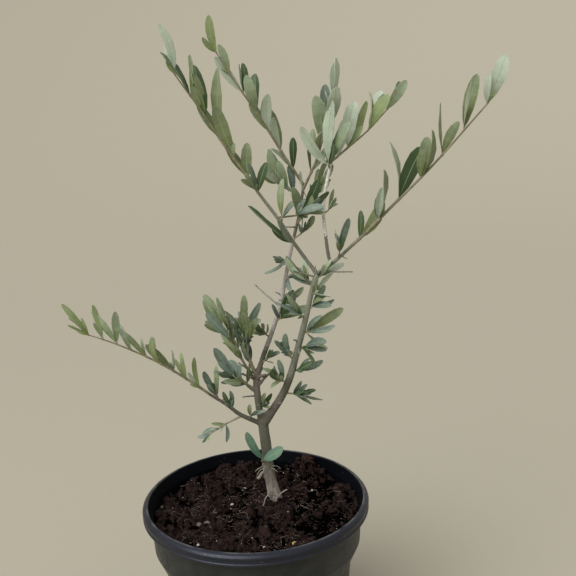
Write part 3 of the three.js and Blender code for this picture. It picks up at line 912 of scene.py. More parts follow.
class OliveTreeSettings(bpy.types.PropertyGroup):
    """Sizes and colours of the tree."""

    bark: colour_property("Bark", "Bark of the boughs", (0.155, 0.134, 0.112))
    foot_bark: colour_property("Foot bark", "Bark at the foot of the trunk", (0.3, 0.27, 0.235))
    green_bark: colour_property("Green bark", "Patches of greener bark", (0.12, 0.124, 0.088))
    # Painted highlights: the thin inner boughs drawn pale, and the middle one nearly white, where the
    # light catches them.
    pale_bark: colour_property("Pale bark", "Bark of the inner left bough", (0.46, 0.42, 0.4))
    white_bark: colour_property("White bark", "Bark of the thin middle bough", (0.7, 0.66, 0.62))
    lichen_bark: colour_property("Lichen bark", "Grey-green bark of the right", (0.25, 0.255, 0.2))
    shoot: colour_property("Green wood", "Skin of the leafy shoots", (0.31, 0.285, 0.185))
    dry_wood: colour_property("Dry wood", "Dead stubs at the trunk's foot", (0.33, 0.29, 0.24))
    # Painted sheen: the pale colour that the leaves' upper faces take towards their tips, where they
    # catch the sky.
    sheen: colour_property("Sheen", "Pale bloom on the leaves' tips", (0.53, 0.63, 0.49))
    olive: colour_property("Olive", "Most leaves", (0.18, 0.23, 0.085))
    grey: colour_property("Grey green", "Leaves with a grey bloom", (0.232, 0.304, 0.158))
    blue: colour_property("Blue green", "Cool, bluish leaves", (0.11, 0.165, 0.135))
    teal: colour_property("Teal", "Leaves of the sprout at the foot", (0.115, 0.25, 0.175))
    dark: colour_property("Dark green", "Old leaves", (0.05, 0.1, 0.03))
    young: colour_property("Young green", "Leaves at the growing tips", (0.25, 0.32, 0.11))
    # Painted highlight: leaves drawn pale and silvery where the light glints on them.
    silver: colour_property("Silver", "Leaves with a silvery bloom", (0.42, 0.49, 0.38))
    underside: colour_property("Underside", "Silvery underside", (0.34, 0.38, 0.27))
    rib: colour_property("Rib", "Pale rib of a leaf", (0.35, 0.41, 0.25))
    cell: FloatProperty(
        name="Bark cell", description="Size of the bark's faces", default=0.0004, unit="LENGTH"
    )
    relief: FloatProperty(
        name="Bark relief", description="Depth of the bark's relief", default=0.0003, unit="LENGTH"
    )
    blade: FloatProperty(
        name="Blade", description="Thickness of a leaf", default=0.0004, unit="LENGTH"
    )


class OlivePotSettings(bpy.types.PropertyGroup):
    """Sizes and colours of the pot and its compost."""

    plastic: colour_property("Plastic", "Pot's plastic", (0.0115, 0.0135, 0.015))
    dust: colour_property("Dust", "Dust on the body", (0.026, 0.029, 0.03))
    # Bluer than the body: a painted sheen, the light's reflection on the rim.
    rim: colour_property("Rim", "Plastic of the rim", (0.0105, 0.0118, 0.018))
    # Painted shade: the inner wall is the same plastic, drawn far darker where the pot's inside lies in
    # shade.
    inside: colour_property("Inside", "Damp inner wall", (0.0015, 0.002, 0.0035))
    # Pale worn flecks on the plastic, and the painted highlight lines on the rim.
    scuff_and_highlight: colour_property("Scuffs", "Pale marks on the pot", (0.11, 0.11, 0.11))
    peat: colour_property("Peat", "Damp peat", (0.006, 0.0035, 0.003))
    red_peat: colour_property("Red peat", "Drier, redder peat", (0.034, 0.0195, 0.0165))
    clod: colour_property("Clod", "Dry red clods", (0.058, 0.028, 0.022))
    grit: colour_property("Grit", "Pale grit", (0.1, 0.07, 0.06))
    straw: colour_property("Straw", "Dry fibres", (0.34, 0.27, 0.215))
    fibre: colour_property("Fibre", "Damp brown fibres", (0.105, 0.067, 0.055))
    crumbs: IntProperty(name="Crumbs", description="Loose crumbs of peat", default=2200, min=0)
    fibres: IntProperty(name="Fibres", description="Fibres on the compost", default=2400, min=0)
    specks: IntProperty(name="Specks", description="Pale specks of grit", default=150, min=0)


class OliveStageSettings(bpy.types.PropertyGroup):
    """The floor, the light and the camera."""

    floor: colour_property("Floor", "Pale floor", (0.46, 0.43, 0.34))
    flat: FloatProperty(
        name="Flat", description="Radius of the floor's level middle", default=1.6, unit="LENGTH"
    )
    sweep: FloatProperty(
        name="Sweep", description="Radius of the floor's upturned edge", default=4, unit="LENGTH"
    )
    sun: FloatProperty(name="Sun", description="Strength of the soft sun", default=1.7, min=0)
    sky: FloatProperty(name="Sky", description="Strength of the even light", default=0.55, min=0)


# ---------------------------------------------------------------- wood


# Dead stubs on the old wood: host, place on it, reach, and radius at foot and tip.
SNAGS = [
    ("bough_left_lower", 0.6, (-15, -3, 15), (1.4, 0.8)),
    ("bough_left_lower", 0.86, (-12, -8, 9), (1.2, 0.7)),
    ("bough_left_lower", 0.55, (-13, -3, 0), (0.7, 0.4)),
    ("bough_left_lower", 0.72, (15, -4, 17), (1.4, 0.7)),
    ("bough_left_lower", 0.9, (8, -7, 5), (1.5, 0.9)),
    ("bough_left_lower", 0.95, (-6, -7, 1), (1.3, 0.9)),
    ("bough_left_lower", 0.99, (-7, 4, 7), (1.4, 0.9)),
    ("bough_left_lower", 0.97, (5, 6, 4), (1.3, 0.8)),
    ("bough_left_upper", 0.42, (-6, -3, 4), (0.8, 0.5)),
    ("bough_left_upper", 0.78, (-10, -4, 1), (0.6, 0.4)),
    ("bough_right", 0.12, (4, -5, 3), (1.3, 0.9)),
    ("bough_right", 0.55, (-5, -4, 3), (0.9, 0.6)),
    ("bough_right", 0.97, (9, -4, 3), (0.8, 0.5)),
    ("bough_right", 0.93, (-7, -3, 4), (0.7, 0.4)),
    ("bough_upper_right", 0.7, (5, -3, -2), (0.5, 0.3)),
    ("bough_low_left", 0.5, (-5, -3, 5), (0.8, 0.5)),
    ("bough_low_left", 0.8, (4, -3, 5), (0.6, 0.4)),
]

# The stretches of the limbs with other bark: from and to, as shares of their length, and which. The
# highlight barks are painted highlights where the thin boughs catch the light; the lichen bark is the
# bark's own grey-green.
BARKS = ("bark", "pale_bark", "white_bark", "lichen_bark")
STRETCHES = {
    "bough_centre": (0.28, 0.97, "white_bark"),
    "bough_left_upper": (0.14, 0.72, "pale_bark"),
    "bough_right": (0.3, 1, "lichen_bark"),
    "bough_upper_left": (0, 1, "lichen_bark"),
    "bough_upper_right": (0, 1, "lichen_bark"),
}


def snags_on(limbs):
    """The curves and specs of the dead stubs."""
    curves = {spec["name"]: curve for curve, spec in limbs}
    specs = [
        (host, at, dict(reach=reach, radius=radius, wander=0.5, seed=60 + n))
        for n, (host, at, reach, radius) in enumerate(SNAGS)
    ]
    return [(LimbCurve(curves[host].point(at), spec), spec) for host, at, spec in specs]


def bark_places(limbs):
    """Tells which bark a point has: the number of its name in `BARKS`."""
    steps = BARK["steps"]
    depth, size = BARK["ragged"]
    places = []
    for curve, spec in limbs:
        low, high, name = STRETCHES.get(spec["name"], (0, 0, "bark"))
        for n in range(steps + 1):
            bark = BARKS.index(name) if low < n / steps < high else 0
            places.append((curve.point(n / steps), bark))
    tree = kdtree.KDTree(len(places))
    for n, (point, _) in enumerate(places):
        tree.insert(point, n)
    tree.balance()
    return lambda point: places[tree.find(point + depth * noise.noise_vector(point / size))[1]][1]


class OLIVE_OT_wood(bpy.types.Operator):
    """Grow the trunk, the boughs and the bare twigs as one piece of bark"""

    bl_idname = "olive.wood"
    bl_label = "Grow wood"

    def execute(self, context):
        settings = context.scene.olive_tree
        plan = grow()
        bm = bmesh.new()
        for curve, spec in [*plan["limbs"], *plan["twigs"], *snags_on(plan["limbs"])]:
            tube(bm, curve, tapering(spec), 16, steps_for(curve, 3))

        def fuse(holder):
            remesh = holder.modifiers.new("Fuse", "REMESH")
            remesh.mode = "VOXEL"
            remesh.voxel_size = settings.cell
            smooth = holder.modifiers.new("Soften", "SMOOTH")
            smooth.iterations = 3

        mesh = applied(mesh_of(bm, "bark"), fuse)
        bm = bmesh.new()
        bm.from_mesh(mesh)
        bpy.data.meshes.remove(mesh)
        bmesh.ops.scale(bm, vec=(1 / MM,) * 3, verts=bm.verts)
        bm.normal_update()
        relief = settings.relief / MM
        (coarse, coarse_depth), (fine, fine_depth) = BARK["coarse"], BARK["fine"]
        for v in bm.verts:
            rough = 2 - smoothstep(*BARK["deep_ends"], v.co.z)
            wide = noise.noise(Vector((v.co.x, v.co.y, v.co.z * BARK["furrow"])) / coarse)
            depth = coarse_depth * wide + fine_depth * noise.noise(v.co / fine)
            v.co += v.normal * relief * rough * depth
        bark_of = bark_places(plan["limbs"])
        for face in bm.faces:
            face.material_index = bark_of(face.calc_center_median())
        names = [spec["name"] for _, spec in [*plan["limbs"], *plan["twigs"]]]
        barks = []
        for name in BARKS:
            main = getattr(settings, name)
            patch = settings.green_bark if name == "bark" else shaded(main, 0.7)
            barks.append(bark_material(name.replace("_", " "), settings, main, patch))
        add_piece("bark_wood", mesh_of(bm, "bark_wood"), barks, names)
        return {"FINISHED"}


# ---------------------------------------------------------------- shoots


class OLIVE_OT_shoots(bpy.types.Operator):
    """Grow the leafy shoots, with swellings at their leaf pairs and buds in the axils"""

    bl_idname = "olive.shoots"
    bl_label = "Grow shoots"

    def execute(self, context):
        settings = context.scene.olive_tree
        plan = grow()
        bm = bmesh.new()
        for curve, spec in plan["shoots"]:
            tube(bm, curve, self.jointed(spec), 8, steps_for(curve, 1.6))
        for n, leaf in enumerate(plan["leaves"]):
            bud = {"reach": (leaf["way"] * 0.5 + UP * 0.6) * 1.9, "wander": 0, "seed": n}
            tube(bm, LimbCurve(leaf["root"], bud), lambda t, _: 0.65 * (1 - t) ** 0.6, 6, 4)
        add_piece("shoots", mesh_of(bm, "shoots"), [shoot_material(settings)])
        return {"FINISHED"}

    def jointed(self, spec):
        """The radius along a shoot, a little more at each pair of leaves."""
        foot, tip = spec["radius"]
        nodes = max(math.ceil(spec["leaves"] / 2), 2)
        length = Vector(spec["reach"]).length
        places = [between(spec["bare"], LEAF["end"], n / (nodes - 1)) for n in range(nodes)]

        def radius(t, _):
            away = min(abs(t - place) for place in places) * length
            return between(1.3 * foot, tip, t) * (1 + 0.3 * math.exp(-((away / 0.9) ** 2)))

        return radius


# ---------------------------------------------------------------- leaves


def at_edge(u):
    """True at a blade's edge, and false at its rib."""
    return abs(u) > 0.9


def blade_template():
    """A blade 2 wide and 1 long with a narrow rib.

    Its materials are 0 for the upper face, 1 for the underside, 2 for the rib, and from 3 on for the
    upper face from its middle to its tip, growing paler as a painted sheen.
    """
    bm = bmesh.new()
    bmesh.ops.create_grid(bm, x_segments=BLADE["strips"], y_segments=BLADE["steps"], size=1)
    for v in bm.verts:
        if not at_edge(v.co.x):
            v.co.x = math.copysign(BLADE["rib"], v.co.x)
        v.co.y = (v.co.y + 1) / 2
    made = bmesh.ops.extrude_face_region(bm, geom=bm.faces[:], use_keep_orig=True)
    upper = [g for g in made["geom"] if isinstance(g, bmesh.types.BMVert)]
    bmesh.ops.translate(bm, vec=(0, 0, 1), verts=upper)
    for face in bm.faces:
        middle = face.calc_center_median()
        row = int(BLADE["steps"] * middle.y)
        if middle.z == 0:
            face.material_index = 1
        elif middle.z == 1 and not any(at_edge(v.co.x) for v in face.verts):
            face.material_index = 2
        elif row >= 3:
            face.material_index = min(row, BLADE["shades"] + 1)
    bmesh.ops.recalc_face_normals(bm, faces=bm.faces)
    for edge in bm.edges:
        edge.smooth = edge.calc_face_angle(0) < math.radians(BLADE["crease"])
    mesh = bpy.data.meshes.new("blade")
    bm.to_mesh(mesh)
    bm.free()
    return mesh


def blade_width(s):
    """The share of a blade's full width at a share of its length: a stalk, then a long oval."""
    base, tip = BLADE["base"], BLADE["tip"]
    share = min(max((s - BLADE["stalk"]) / (1 - BLADE["stalk"]), 0), 1)
    widest = base / (base + tip)
    return (share / widest) ** base * ((1 - share) / (1 - widest)) ** tip


def blade_step(n):
    """The share of a blade's length at its nth step, closer together towards both ends."""
    return (1 - math.cos(math.pi * n)) / 2


def blade_style(chance):
    """How one blade differs from the next."""
    return {
        "turn": BLADE["turn"] * (chance.random() - 0.5),
        "fold": BLADE["fold"] * (0.4 + chance.random()),
        "curl": BLADE["curl"] * chance.random(),
        "phase": 6 * chance.random(),
        "bow": BLADE["bow"] * (2 * chance.random() - 1),
        "sickle": BLADE["sickle"] * (2 * chance.random() - 1),
    }


def lay_blade(points, leaf, thickness, style):
    """Puts the template's points where one leaf has them."""
    way, face = leaf["way"], leaf["face"]
    level = way.cross(face)
    for v in points:
        u, s, top = v.co.x, blade_step(v.co.y), v.co.z
        turn = math.radians(style["turn"]) * (s - BLADE["still"])
        across = level * math.cos(turn) + face * math.sin(turn)
        out = face * math.cos(turn) - level * math.sin(turn)
        narrow = BLADE["tip_width"] if s else 0.5 * BLADE["stalk_width"]
        half = max(leaf["width"] * blade_width(s), narrow)
        bulk = between(BLADE["stalk_width"], thickness, smoothstep(0, BLADE["stalk_end"], s))
        rise = half * (style["fold"] * abs(u) - style["curl"] * u * u)
        rise += half * BLADE["wave"] * abs(u) * math.sin(9 * s + style["phase"] + 2 * u)
        sunk = 0 if at_edge(u) else BLADE["rib_depth"]
        arch = 4 * s * (1 - s) * leaf["length"]
        v.co = (
            leaf["root"]
            + way * (leaf["length"] * s)
            + face * (style["bow"] * arch - leaf["droop"] * s * s)
            + level * (style["sickle"] * arch)
            + across * (u * half)
            + out * (rise - sunk + bulk * (top - 0.5))
        )


def colour_of(leaf, chance):
    """The name of a leaf's colour: drawn from its shoot's tint, and its own at a shoot's tip."""
    if leaf["end"] and leaf["share"] > 0.9:
        return "young" if leaf.get("small") and leaf["tint"] != "shade" else leaf["end"]
    names = [name for name, count in TINTS[leaf["tint"]].items() for _ in range(count)]
    return names[int(chance * len(names))]


class OLIVE_OT_leaves(bpy.types.Operator):
    """Grow the leaves, one piece for each colour"""

    bl_idname = "olive.leaves"
    bl_label = "Grow leaves"

    def execute(self, context):
        settings = context.scene.olive_tree
        chance = random.Random(11)
        template = blade_template()
        sets = {}
        for leaf in grow()["leaves"]:
            colour = colour_of(leaf, chance.random())
            sets.setdefault(colour, []).append((leaf, blade_style(chance)))
        under = blade_material("leaf underside", settings.underside, 0.6, 0.8)
        rib = blade_material("leaf rib", settings.rib, 0.5, 0.7)
        hidden = [spec["name"] for spec in [*SPRAYS, *side_shoots("spur", SPURS)]]
        for name, blades in sets.items():
            bm = bmesh.new()
            for leaf, style in blades:
                first = len(bm.verts)
                bm.from_mesh(template)
                bm.verts.ensure_lookup_table()
                lay_blade(bm.verts[first:], leaf, settings.blade / MM, style)
            main, sheen = Vector(getattr(settings, name)), Vector(settings.sheen)
            # The upper face grows paler from its middle to its tip: a painted sheen.
            shares = [SHEEN[name] * n / (BLADE["shades"] - 1) for n in range(BLADE["shades"])]
            upper, *outer = (
                blade_material(f"leaf {name} {n}", main.lerp(sheen, share), 0.36, 0.55)
                for n, share in enumerate(shares)
            )
            add_piece(f"leaves_{name}", mesh_of(bm, f"leaves_{name}"),
                      [upper, under, rib, *outer], hidden)
        bpy.data.meshes.remove(template)
        return {"FINISHED"}


# ---------------------------------------------------------------- pot


def pot_profile():
    """The pot's outline from the middle of its underside, round the rim, to the middle inside."""
    body = [
        (POT["base_radius"], POT["foot_bevel"]),
        (POT["shoulder_foot_radius"], POT["shoulder_foot"]),
        (POT["shoulder_top_radius"], POT["shoulder_top"]),
        (POT["collar_radius"], RIM_FOOT),
    ]
    return [
        (0, 0),
        (POT["base_radius"] - POT["foot_bevel"], 0),
        *body,
        *((POT["rim_radius"] - inward, RIM_FOOT + up) for inward, up in POT["rim_outline"]),
        *((r - POT["wall"], z) for r, z in body[:0:-1]),
        (POT["base_radius"] - POT["wall"], POT["floor"]),
        (0, POT["floor"]),
    ]


def spun(profile, sides):
    """A closed solid of revolution in a bmesh, from a profile of radius and height."""
    bm = bmesh.new()
    points = [bm.verts.new((r, 0, z)) for r, z in profile]
    lines = [bm.edges.new(pair) for pair in zip(points, points[1:])]
    bmesh.ops.spin(
        bm, geom=points + lines, cent=(0, 0, 0), axis=(0, 0, 1), dvec=(0, 0, 0),
        angle=2 * math.pi, steps=sides, use_merge=True,
    )
    bmesh.ops.remove_doubles(bm, verts=bm.verts, dist=0.001)
    bmesh.ops.recalc_face_normals(bm, faces=bm.faces)
    return bm


def pot_region(face):
    """Which of the pot's materials a face has: its body's, its rim's or its inside's."""
    middle = face.center / MM
    if middle.xy.length > POT["rim_radius"] - POT["rim_width"] and middle.z > RIM_FOOT - 1:
        return 1
    return 2 if face.normal.xy.dot(middle.xy) < 0 else 0


class OLIVE_OT_pot(bpy.types.Operator):
    """Mould the nursery pot, with its rolled rim and its drain holes"""

    bl_idname = "olive.pot"
    bl_label = "Mould pot"

    def execute(self, context):
        settings = context.scene.olive_pot
        bm = spun(pot_profile(), POT["sides"])
        bm.normal_update()
        creases = [
            e for e in bm.edges
            if len(e.link_faces) == 2 and e.calc_face_angle() > math.radians(POT["crease"])
        ]
        bmesh.ops.bevel(
            bm, geom=creases, offset=POT["bevel"], segments=3, profile=0.5, affect="EDGES",
            material=-1, clamp_overlap=True,
        )
        holes = bmesh.new()
        for n in range(DRAIN["count"]):
            angle = 2 * math.pi * n / DRAIN["count"]
            middle = Vector((math.cos(angle), math.sin(angle), 0)) * DRAIN["ring"]
            bmesh.ops.create_cone(
                holes, cap_ends=True, segments=DRAIN["sides"], radius1=DRAIN["radius"],
                radius2=DRAIN["radius"], depth=4 * POT["floor"], matrix=Matrix.Translation(middle),
            )
        drills = bpy.data.objects.new("drills", mesh_of(holes, "drills"))

        def drill(holder):
            cut = holder.modifiers.new("Drain", "BOOLEAN")
            cut.operation = "DIFFERENCE"
            cut.solver = "EXACT"
            cut.object = drills

        mesh = applied(mesh_of(bm, "nursery_pot"), drill)
        bpy.data.objects.remove(drills)
        piece = add_piece("nursery_pot", mesh, pot_materials(settings), ["pot"])
        for face in mesh.polygons:
            face.material_index = pot_region(face)
        weighted = piece.modifiers.new("Even shading", "WEIGHTED_NORMAL")
        weighted.keep_sharp = True
        return {"FINISHED"}


# ---------------------------------------------------------------- compost


def from_trunk(x, y):
    """How far a place on the compost is from the middle of the trunk's foot."""
    foot_x, foot_y, _ = LIMBS[0]["foot"]
    return math.hypot(x - foot_x, y - foot_y)


def soil_swell(x, y):
    """How far the compost's heaps rise at a place, and how far the clods on them do."""
    free = smoothstep(SOIL["flat_radius"] / 2, SOIL["flat_radius"], from_trunk(x, y))
    level = 0
    for length, heading, height in SOIL["waves"]:
        angle = math.radians(heading)
        way = x * math.cos(angle) + y * math.sin(angle)
        level += height * math.sin(2 * math.pi * way / length)
    for heap_x, heap_y, radius, height in SOIL["heaps"]:
        level += height * math.exp(-((x - heap_x) ** 2 + (y - heap_y) ** 2) / radius**2)
    level *= free
    clods = 0
    for size, height in SOIL["lumps"]:
        place = Vector((x, y, level)) / size
        clods += (0.35 + 0.65 * free) * height * (2.6 * abs(noise.noise(place)) - 0.6)
    for pit_x, pit_y, radius, depth in SOIL["pits"]:
        clods -= depth * math.exp(-((x - pit_x) ** 2 + (y - pit_y) ** 2) / radius**2)
    return level, clods


def soil_level(x, y):
    """The height of the compost's surface."""
    collar = SOIL["collar"] * math.exp(-((from_trunk(x, y) / 10) ** 4))
    return SOIL["top"] + sum(soil_swell(x, y)) + collar


def on_soil(x, y, rise):
    """The point at a height over a place on the compost."""
    return Vector((x, y, soil_level(x, y) + rise))


def dryness_and_shade(x, y):
    """How dry the compost looks: by its clods' height, by large patches, and less to the right. Its low
    values are painted shade: the hollows and pits, and the right side away from the light, are drawn
    darker.
    """
    return soil_swell(x, y)[1] + 4 * noise.noise(Vector((x, y, 3)) / 38) - 0.012 * x


def soil_edge(level):
    """The compost's radius at a level, inside the pot's wall."""
    share = (level - POT["shoulder_top"]) / (RIM_FOOT - POT["shoulder_top"])
    wall = between(POT["shoulder_top_radius"], POT["collar_radius"], share)
    return wall - POT["wall"] - SOIL["gap"]


def compost_body():
    """A closed body of compost: a rough disc, drawn down the pot's wall to its floor."""
    bm = bmesh.new()
    bmesh.ops.create_grid(bm, x_segments=SOIL["cells"], y_segments=SOIL["cells"], size=1)
    edge = soil_edge(SOIL["top"])
    for v in bm.verts:
        x, y = v.co.x, v.co.y
        x, y = x * math.sqrt(1 - y * y / 2) * edge, y * math.sqrt(1 - x * x / 2) * edge
        level = soil_level(x, y)
        spread = soil_edge(level) / edge
        v.co = (x * spread, y * spread, level)
    # Dry peat on the crests, and near-black peat as painted shade in the hollows and pits, more of it
    # to the right.
    for face in bm.faces:
        height = dryness_and_shade(*face.calc_center_median().xy)
        face.material_index = 1 if height > SOIL["crest"] else 2 if height < SOIL["hollow"] else 0
    rim = [e for e in bm.edges if e.is_boundary]
    inset = POT["wall"] + SOIL["gap"]
    for radius, level in (
        (POT["shoulder_top_radius"] - inset, POT["shoulder_top"]),
        (POT["shoulder_foot_radius"] - inset, POT["shoulder_foot"]),
        (POT["base_radius"] - inset, POT["floor"] + SOIL["gap"]),
    ):
        made = bmesh.ops.extrude_edge_only(bm, edges=rim)
        rim = [g for g in made["geom"] if isinstance(g, bmesh.types.BMEdge)]
        for v in {v for e in rim for v in e.verts}:
            v.co.xy *= radius / v.co.xy.length
            v.co.z = level
    bmesh.ops.holes_fill(bm, edges=rim)
    return bm


def scatter(chance, margin=3):
    """A random place on the compost, clear of the trunk."""
    while True:
        radius = (soil_edge(SOIL["top"]) - margin) * math.sqrt(chance.random())
        angle = 2 * math.pi * chance.random()
        x, y = radius * math.cos(angle), radius * math.sin(angle)
        if from_trunk(x, y) > 7:
            return x, y


def add_crumb(bm, place, size, chance, rounds=1):
    """Adds a lump: a ball with its corners pushed in and out."""
    made = bmesh.ops.create_icosphere(bm, subdivisions=rounds, radius=size)
    squash = Vector((1, between(0.6, 1, chance.random()), between(0.5, 0.9, chance.random())))
    spin = Quaternion(UP, 6.3 * chance.random())
    for v in made["verts"]:
        v.co = spin @ (v.co * squash) * between(0.75, 1.15, chance.random()) + place


def add_clod(bm, place, size):
    """Adds a whole clod: a flattened ball with a coarse and a fine unevenness."""
    made = bmesh.ops.create_icosphere(bm, subdivisions=4, radius=size)
    for v in made["verts"]:
        there = v.co + place
        uneven = 1 + 0.9 * noise.noise(there / 3.5) + 0.4 * noise.noise(there / 1.2)
        v.co = v.co * Vector((1, 1, 0.75)) * uneven + place


def fibre_spec(chance, length):
    """A thread that lies on the compost in a curl."""
    angle = 2 * math.pi * chance.random()
    way = Vector((math.cos(angle), math.sin(angle), 0.3 * (chance.random() - 0.4)))
    bow = Vector((-math.sin(angle), math.cos(angle), 0.5)) * length * (chance.random() - 0.5)
    wander = length * 0.16 * chance.random()
    return {"reach": way * length, "bow": bow, "wander": wander, "seed": chance.randrange(99)}


# `mixed` is how far wet and dry crumbs lie among one another, `foot` how many lie round the trunk's
# foot and `heaped` how many make a clod, with sizes that are shares of the clod's.
CRUMBS = {"sizes": (0.5, 2.6), "mixed": 1.5, "foot": 90, "foot_ring": (6, 9),
          "foot_sizes": (0.6, 1.7), "foot_dry": 0.3, "heaped": 40, "heaped_sizes": (0.08, 0.22)}

# `straw` is the share of pale threads, and `longest` how much longer each kind is than `shortest`.
FIBRES = {"margin": 8, "patch": 18, "straw": 0.1, "shortest": 1.5,
          "longest": {"straw": 14, "brown": 9}, "radius": (0.12, 0.28), "rise": 0.7}

GRIT = {
    "colours": {
        "white": (0.62, 0.58, 0.52),
        "pale": (0.17, 0.14, 0.12),
        "yellow": (0.5, 0.36, 0.13),
    },
    "sizes": (0.25, 0.7),
    "rise": 0.5,
}

# Things that show plainly on the compost: place, radius and colour.
GRANULES = [
    ((31.7, -54.5), 2.6, "yellow"), ((-40, -23), 2.9, "pale"), ((-47, -19), 2.4, "pale"),
    ((-75, -22), 2.2, "pale"), ((-83, 15), 1.9, "pale"), ((-21.7, 12.9), 1.5, "white"),
    ((-44.8, -49), 1.4, "white"), ((7.5, -57.2), 1.2, "white"), ((48, 20), 1.3, "white"),
]

# Clods that stand higher, as heaps of crumbs: place, radius and how far they rise.
CLODS = [
    ((42, 68), 13, 5), ((56, 58), 10, 4), ((35, 23), 10, 3), ((49, 30), 8, 2), ((-30, 64), 9, 3),
    ((-8, 72), 7, 2), ((66, -8), 8, 1), ((-58, 28), 7, 1), ((20, -32), 6, 1), ((72, 24), 9, 2),
    ((-44, 40), 7, 2), ((-20, -38), 6, 1), ((4, 46), 6, 2),
]

# Whole clods: place, radius, how far their middle stands over the compost, and their piece.
WHOLE_CLODS = [
    ((45, 66), 5.2, 1.5, "crumbs_red"), ((57, 54), 4.2, 2, "crumbs_dry"),
    ((35, 27), 4.6, 1.5, "crumbs_dry"), ((73, 22), 4.5, 1, "crumbs_red"),
    ((-34, 62), 4.5, 1, "crumbs_dry"), ((-57, 30), 3.4, 1, "crumbs_dry"),
    ((52, -14), 3.2, 1, "crumbs_damp"), ((-12, -20), 3, 1, "crumbs_dry"),
]


class OLIVE_OT_compost(bpy.types.Operator):
    """Fill the pot with peat, and strew crumbs, fibres and grit on it"""

    bl_idname = "olive.compost"
    bl_label = "Fill with compost"

    def execute(self, context):
        settings = context.scene.olive_pot
        chance = random.Random(5)
        peat = compost_material("peat", settings.peat, settings.red_peat, settings.grit)
        dry = compost_material("dry peat", settings.red_peat, settings.peat, settings.grit)
        # The near-black peat of the hollows is painted shade.
        black = shaded(settings.peat, 0.15)
        hollow_shade = compost_material("deep peat", black, black, settings.peat, 0.02)
        body = mesh_of(compost_body(), "compost")
        add_piece("compost", body, [peat, dry, hollow_shade], ["soil"])
        red = compost_material("red clod", settings.clod, settings.red_peat, settings.grit)
        looks = {"crumbs_damp": peat, "crumbs_dry": dry, "crumbs_red": red}
        lumps = {name: bmesh.new() for name in looks}
        self.strew_crumbs(lumps, settings, chance)
        self.heap_clods(lumps, chance)
        for name, bm in lumps.items():
            add_piece(name, mesh_of(bm, name), [looks[name]])
        self.strew_fibres(settings, chance)
        self.strew_grit(settings, chance)
        return {"FINISHED"}

    def strew_crumbs(self, lumps, settings, chance):
        """Adds the loose crumbs, by how dry the compost is and where its painted shade lies, and those
        round the trunk's foot.
        """
        for _ in range(settings.crumbs):
            x, y = scatter(chance)
            size = between(*CRUMBS["sizes"], chance.random() ** 3)
            height = dryness_and_shade(x, y) + CRUMBS["mixed"] * chance.random()
            if height > SOIL["hollow"] + 1:
                kind = "crumbs_dry" if height > SOIL["crest"] + 1 else "crumbs_damp"
                add_crumb(lumps[kind], on_soil(x, y, 0.2 * size), size, chance)
        foot_x, foot_y, _ = LIMBS[0]["foot"]
        for _ in range(CRUMBS["foot"]):
            angle = 2 * math.pi * chance.random()
            away = between(*CRUMBS["foot_ring"], chance.random())
            x, y = foot_x + away * math.cos(angle), foot_y + away * math.sin(angle)
            size = between(*CRUMBS["foot_sizes"], chance.random())
            kind = "crumbs_dry" if chance.random() < CRUMBS["foot_dry"] else "crumbs_damp"
            add_crumb(lumps[kind], on_soil(x, y, 0.5 * size), size, chance)

    def heap_clods(self, lumps, chance):
        """Adds the clods: those that are heaps of crumbs, and the whole ones."""
        for (x, y), size, rise in CLODS:
            for _ in range(CRUMBS["heaped"]):
                dx, dy = (size * (chance.random() + chance.random() - 1) for _ in range(2))
                place = on_soil(x + dx, y + dy, rise * chance.random())
                lump = size * between(*CRUMBS["heaped_sizes"], chance.random())
                kind = "crumbs_red" if rise > 2 and chance.random() < 0.5 else "crumbs_dry"
                add_crumb(lumps[kind], place, lump, chance, 2)
        for place, size, rise, kind in WHOLE_CLODS:
            add_clod(lumps[kind], on_soil(*place, rise), size)

    def strew_fibres(self, settings, chance):
        """Adds the dry threads in patches, most of them short."""
        threads = {name: bmesh.new() for name in FIBRES["longest"]}
        for _ in range(settings.fibres):
            x, y = scatter(chance, FIBRES["margin"])
            if noise.noise(Vector((x, y, 7)) / FIBRES["patch"]) < 0.5 * chance.random() - 0.3:
                continue
            name = "straw" if chance.random() < FIBRES["straw"] else "brown"
            longest = FIBRES["longest"][name]
            spec = fibre_spec(chance, FIBRES["shortest"] + longest * chance.random() ** 2.5)
            thick = between(*FIBRES["radius"], chance.random() ** 2)
            curve = LimbCurve(on_soil(x, y, FIBRES["rise"]), spec)
            tube(threads[name], curve, lambda t, _, r=thick: r * (1 - 0.5 * t), 4, 6)
        looks = {"straw": settings.straw, "brown": settings.fibre}
        for name, bm in threads.items():
            material = plain_grain_material(f"fibre {name}", looks[name])
            add_piece(f"fibres_{name}", mesh_of(bm, f"fibres_{name}"), [material])

    def strew_grit(self, settings, chance):
        """Adds the pale specks and granules."""
        grit = {name: bmesh.new() for name in GRIT["colours"]}
        for _ in range(settings.specks):
            x, y = scatter(chance)
            size = between(*GRIT["sizes"], chance.random() ** 2)
            add_crumb(grit["white"], on_soil(x, y, GRIT["rise"]), size, chance)
        for place, size, name in GRANULES:
            add_crumb(grit[name], on_soil(*place, size), size, chance, 3)
        for name, bm in grit.items():
            material = plain_grain_material(f"grit {name}", GRIT["colours"][name])
            add_piece(f"grit_{name}", mesh_of(bm, f"grit_{name}"), [material])


# ---------------------------------------------------------------- stubs

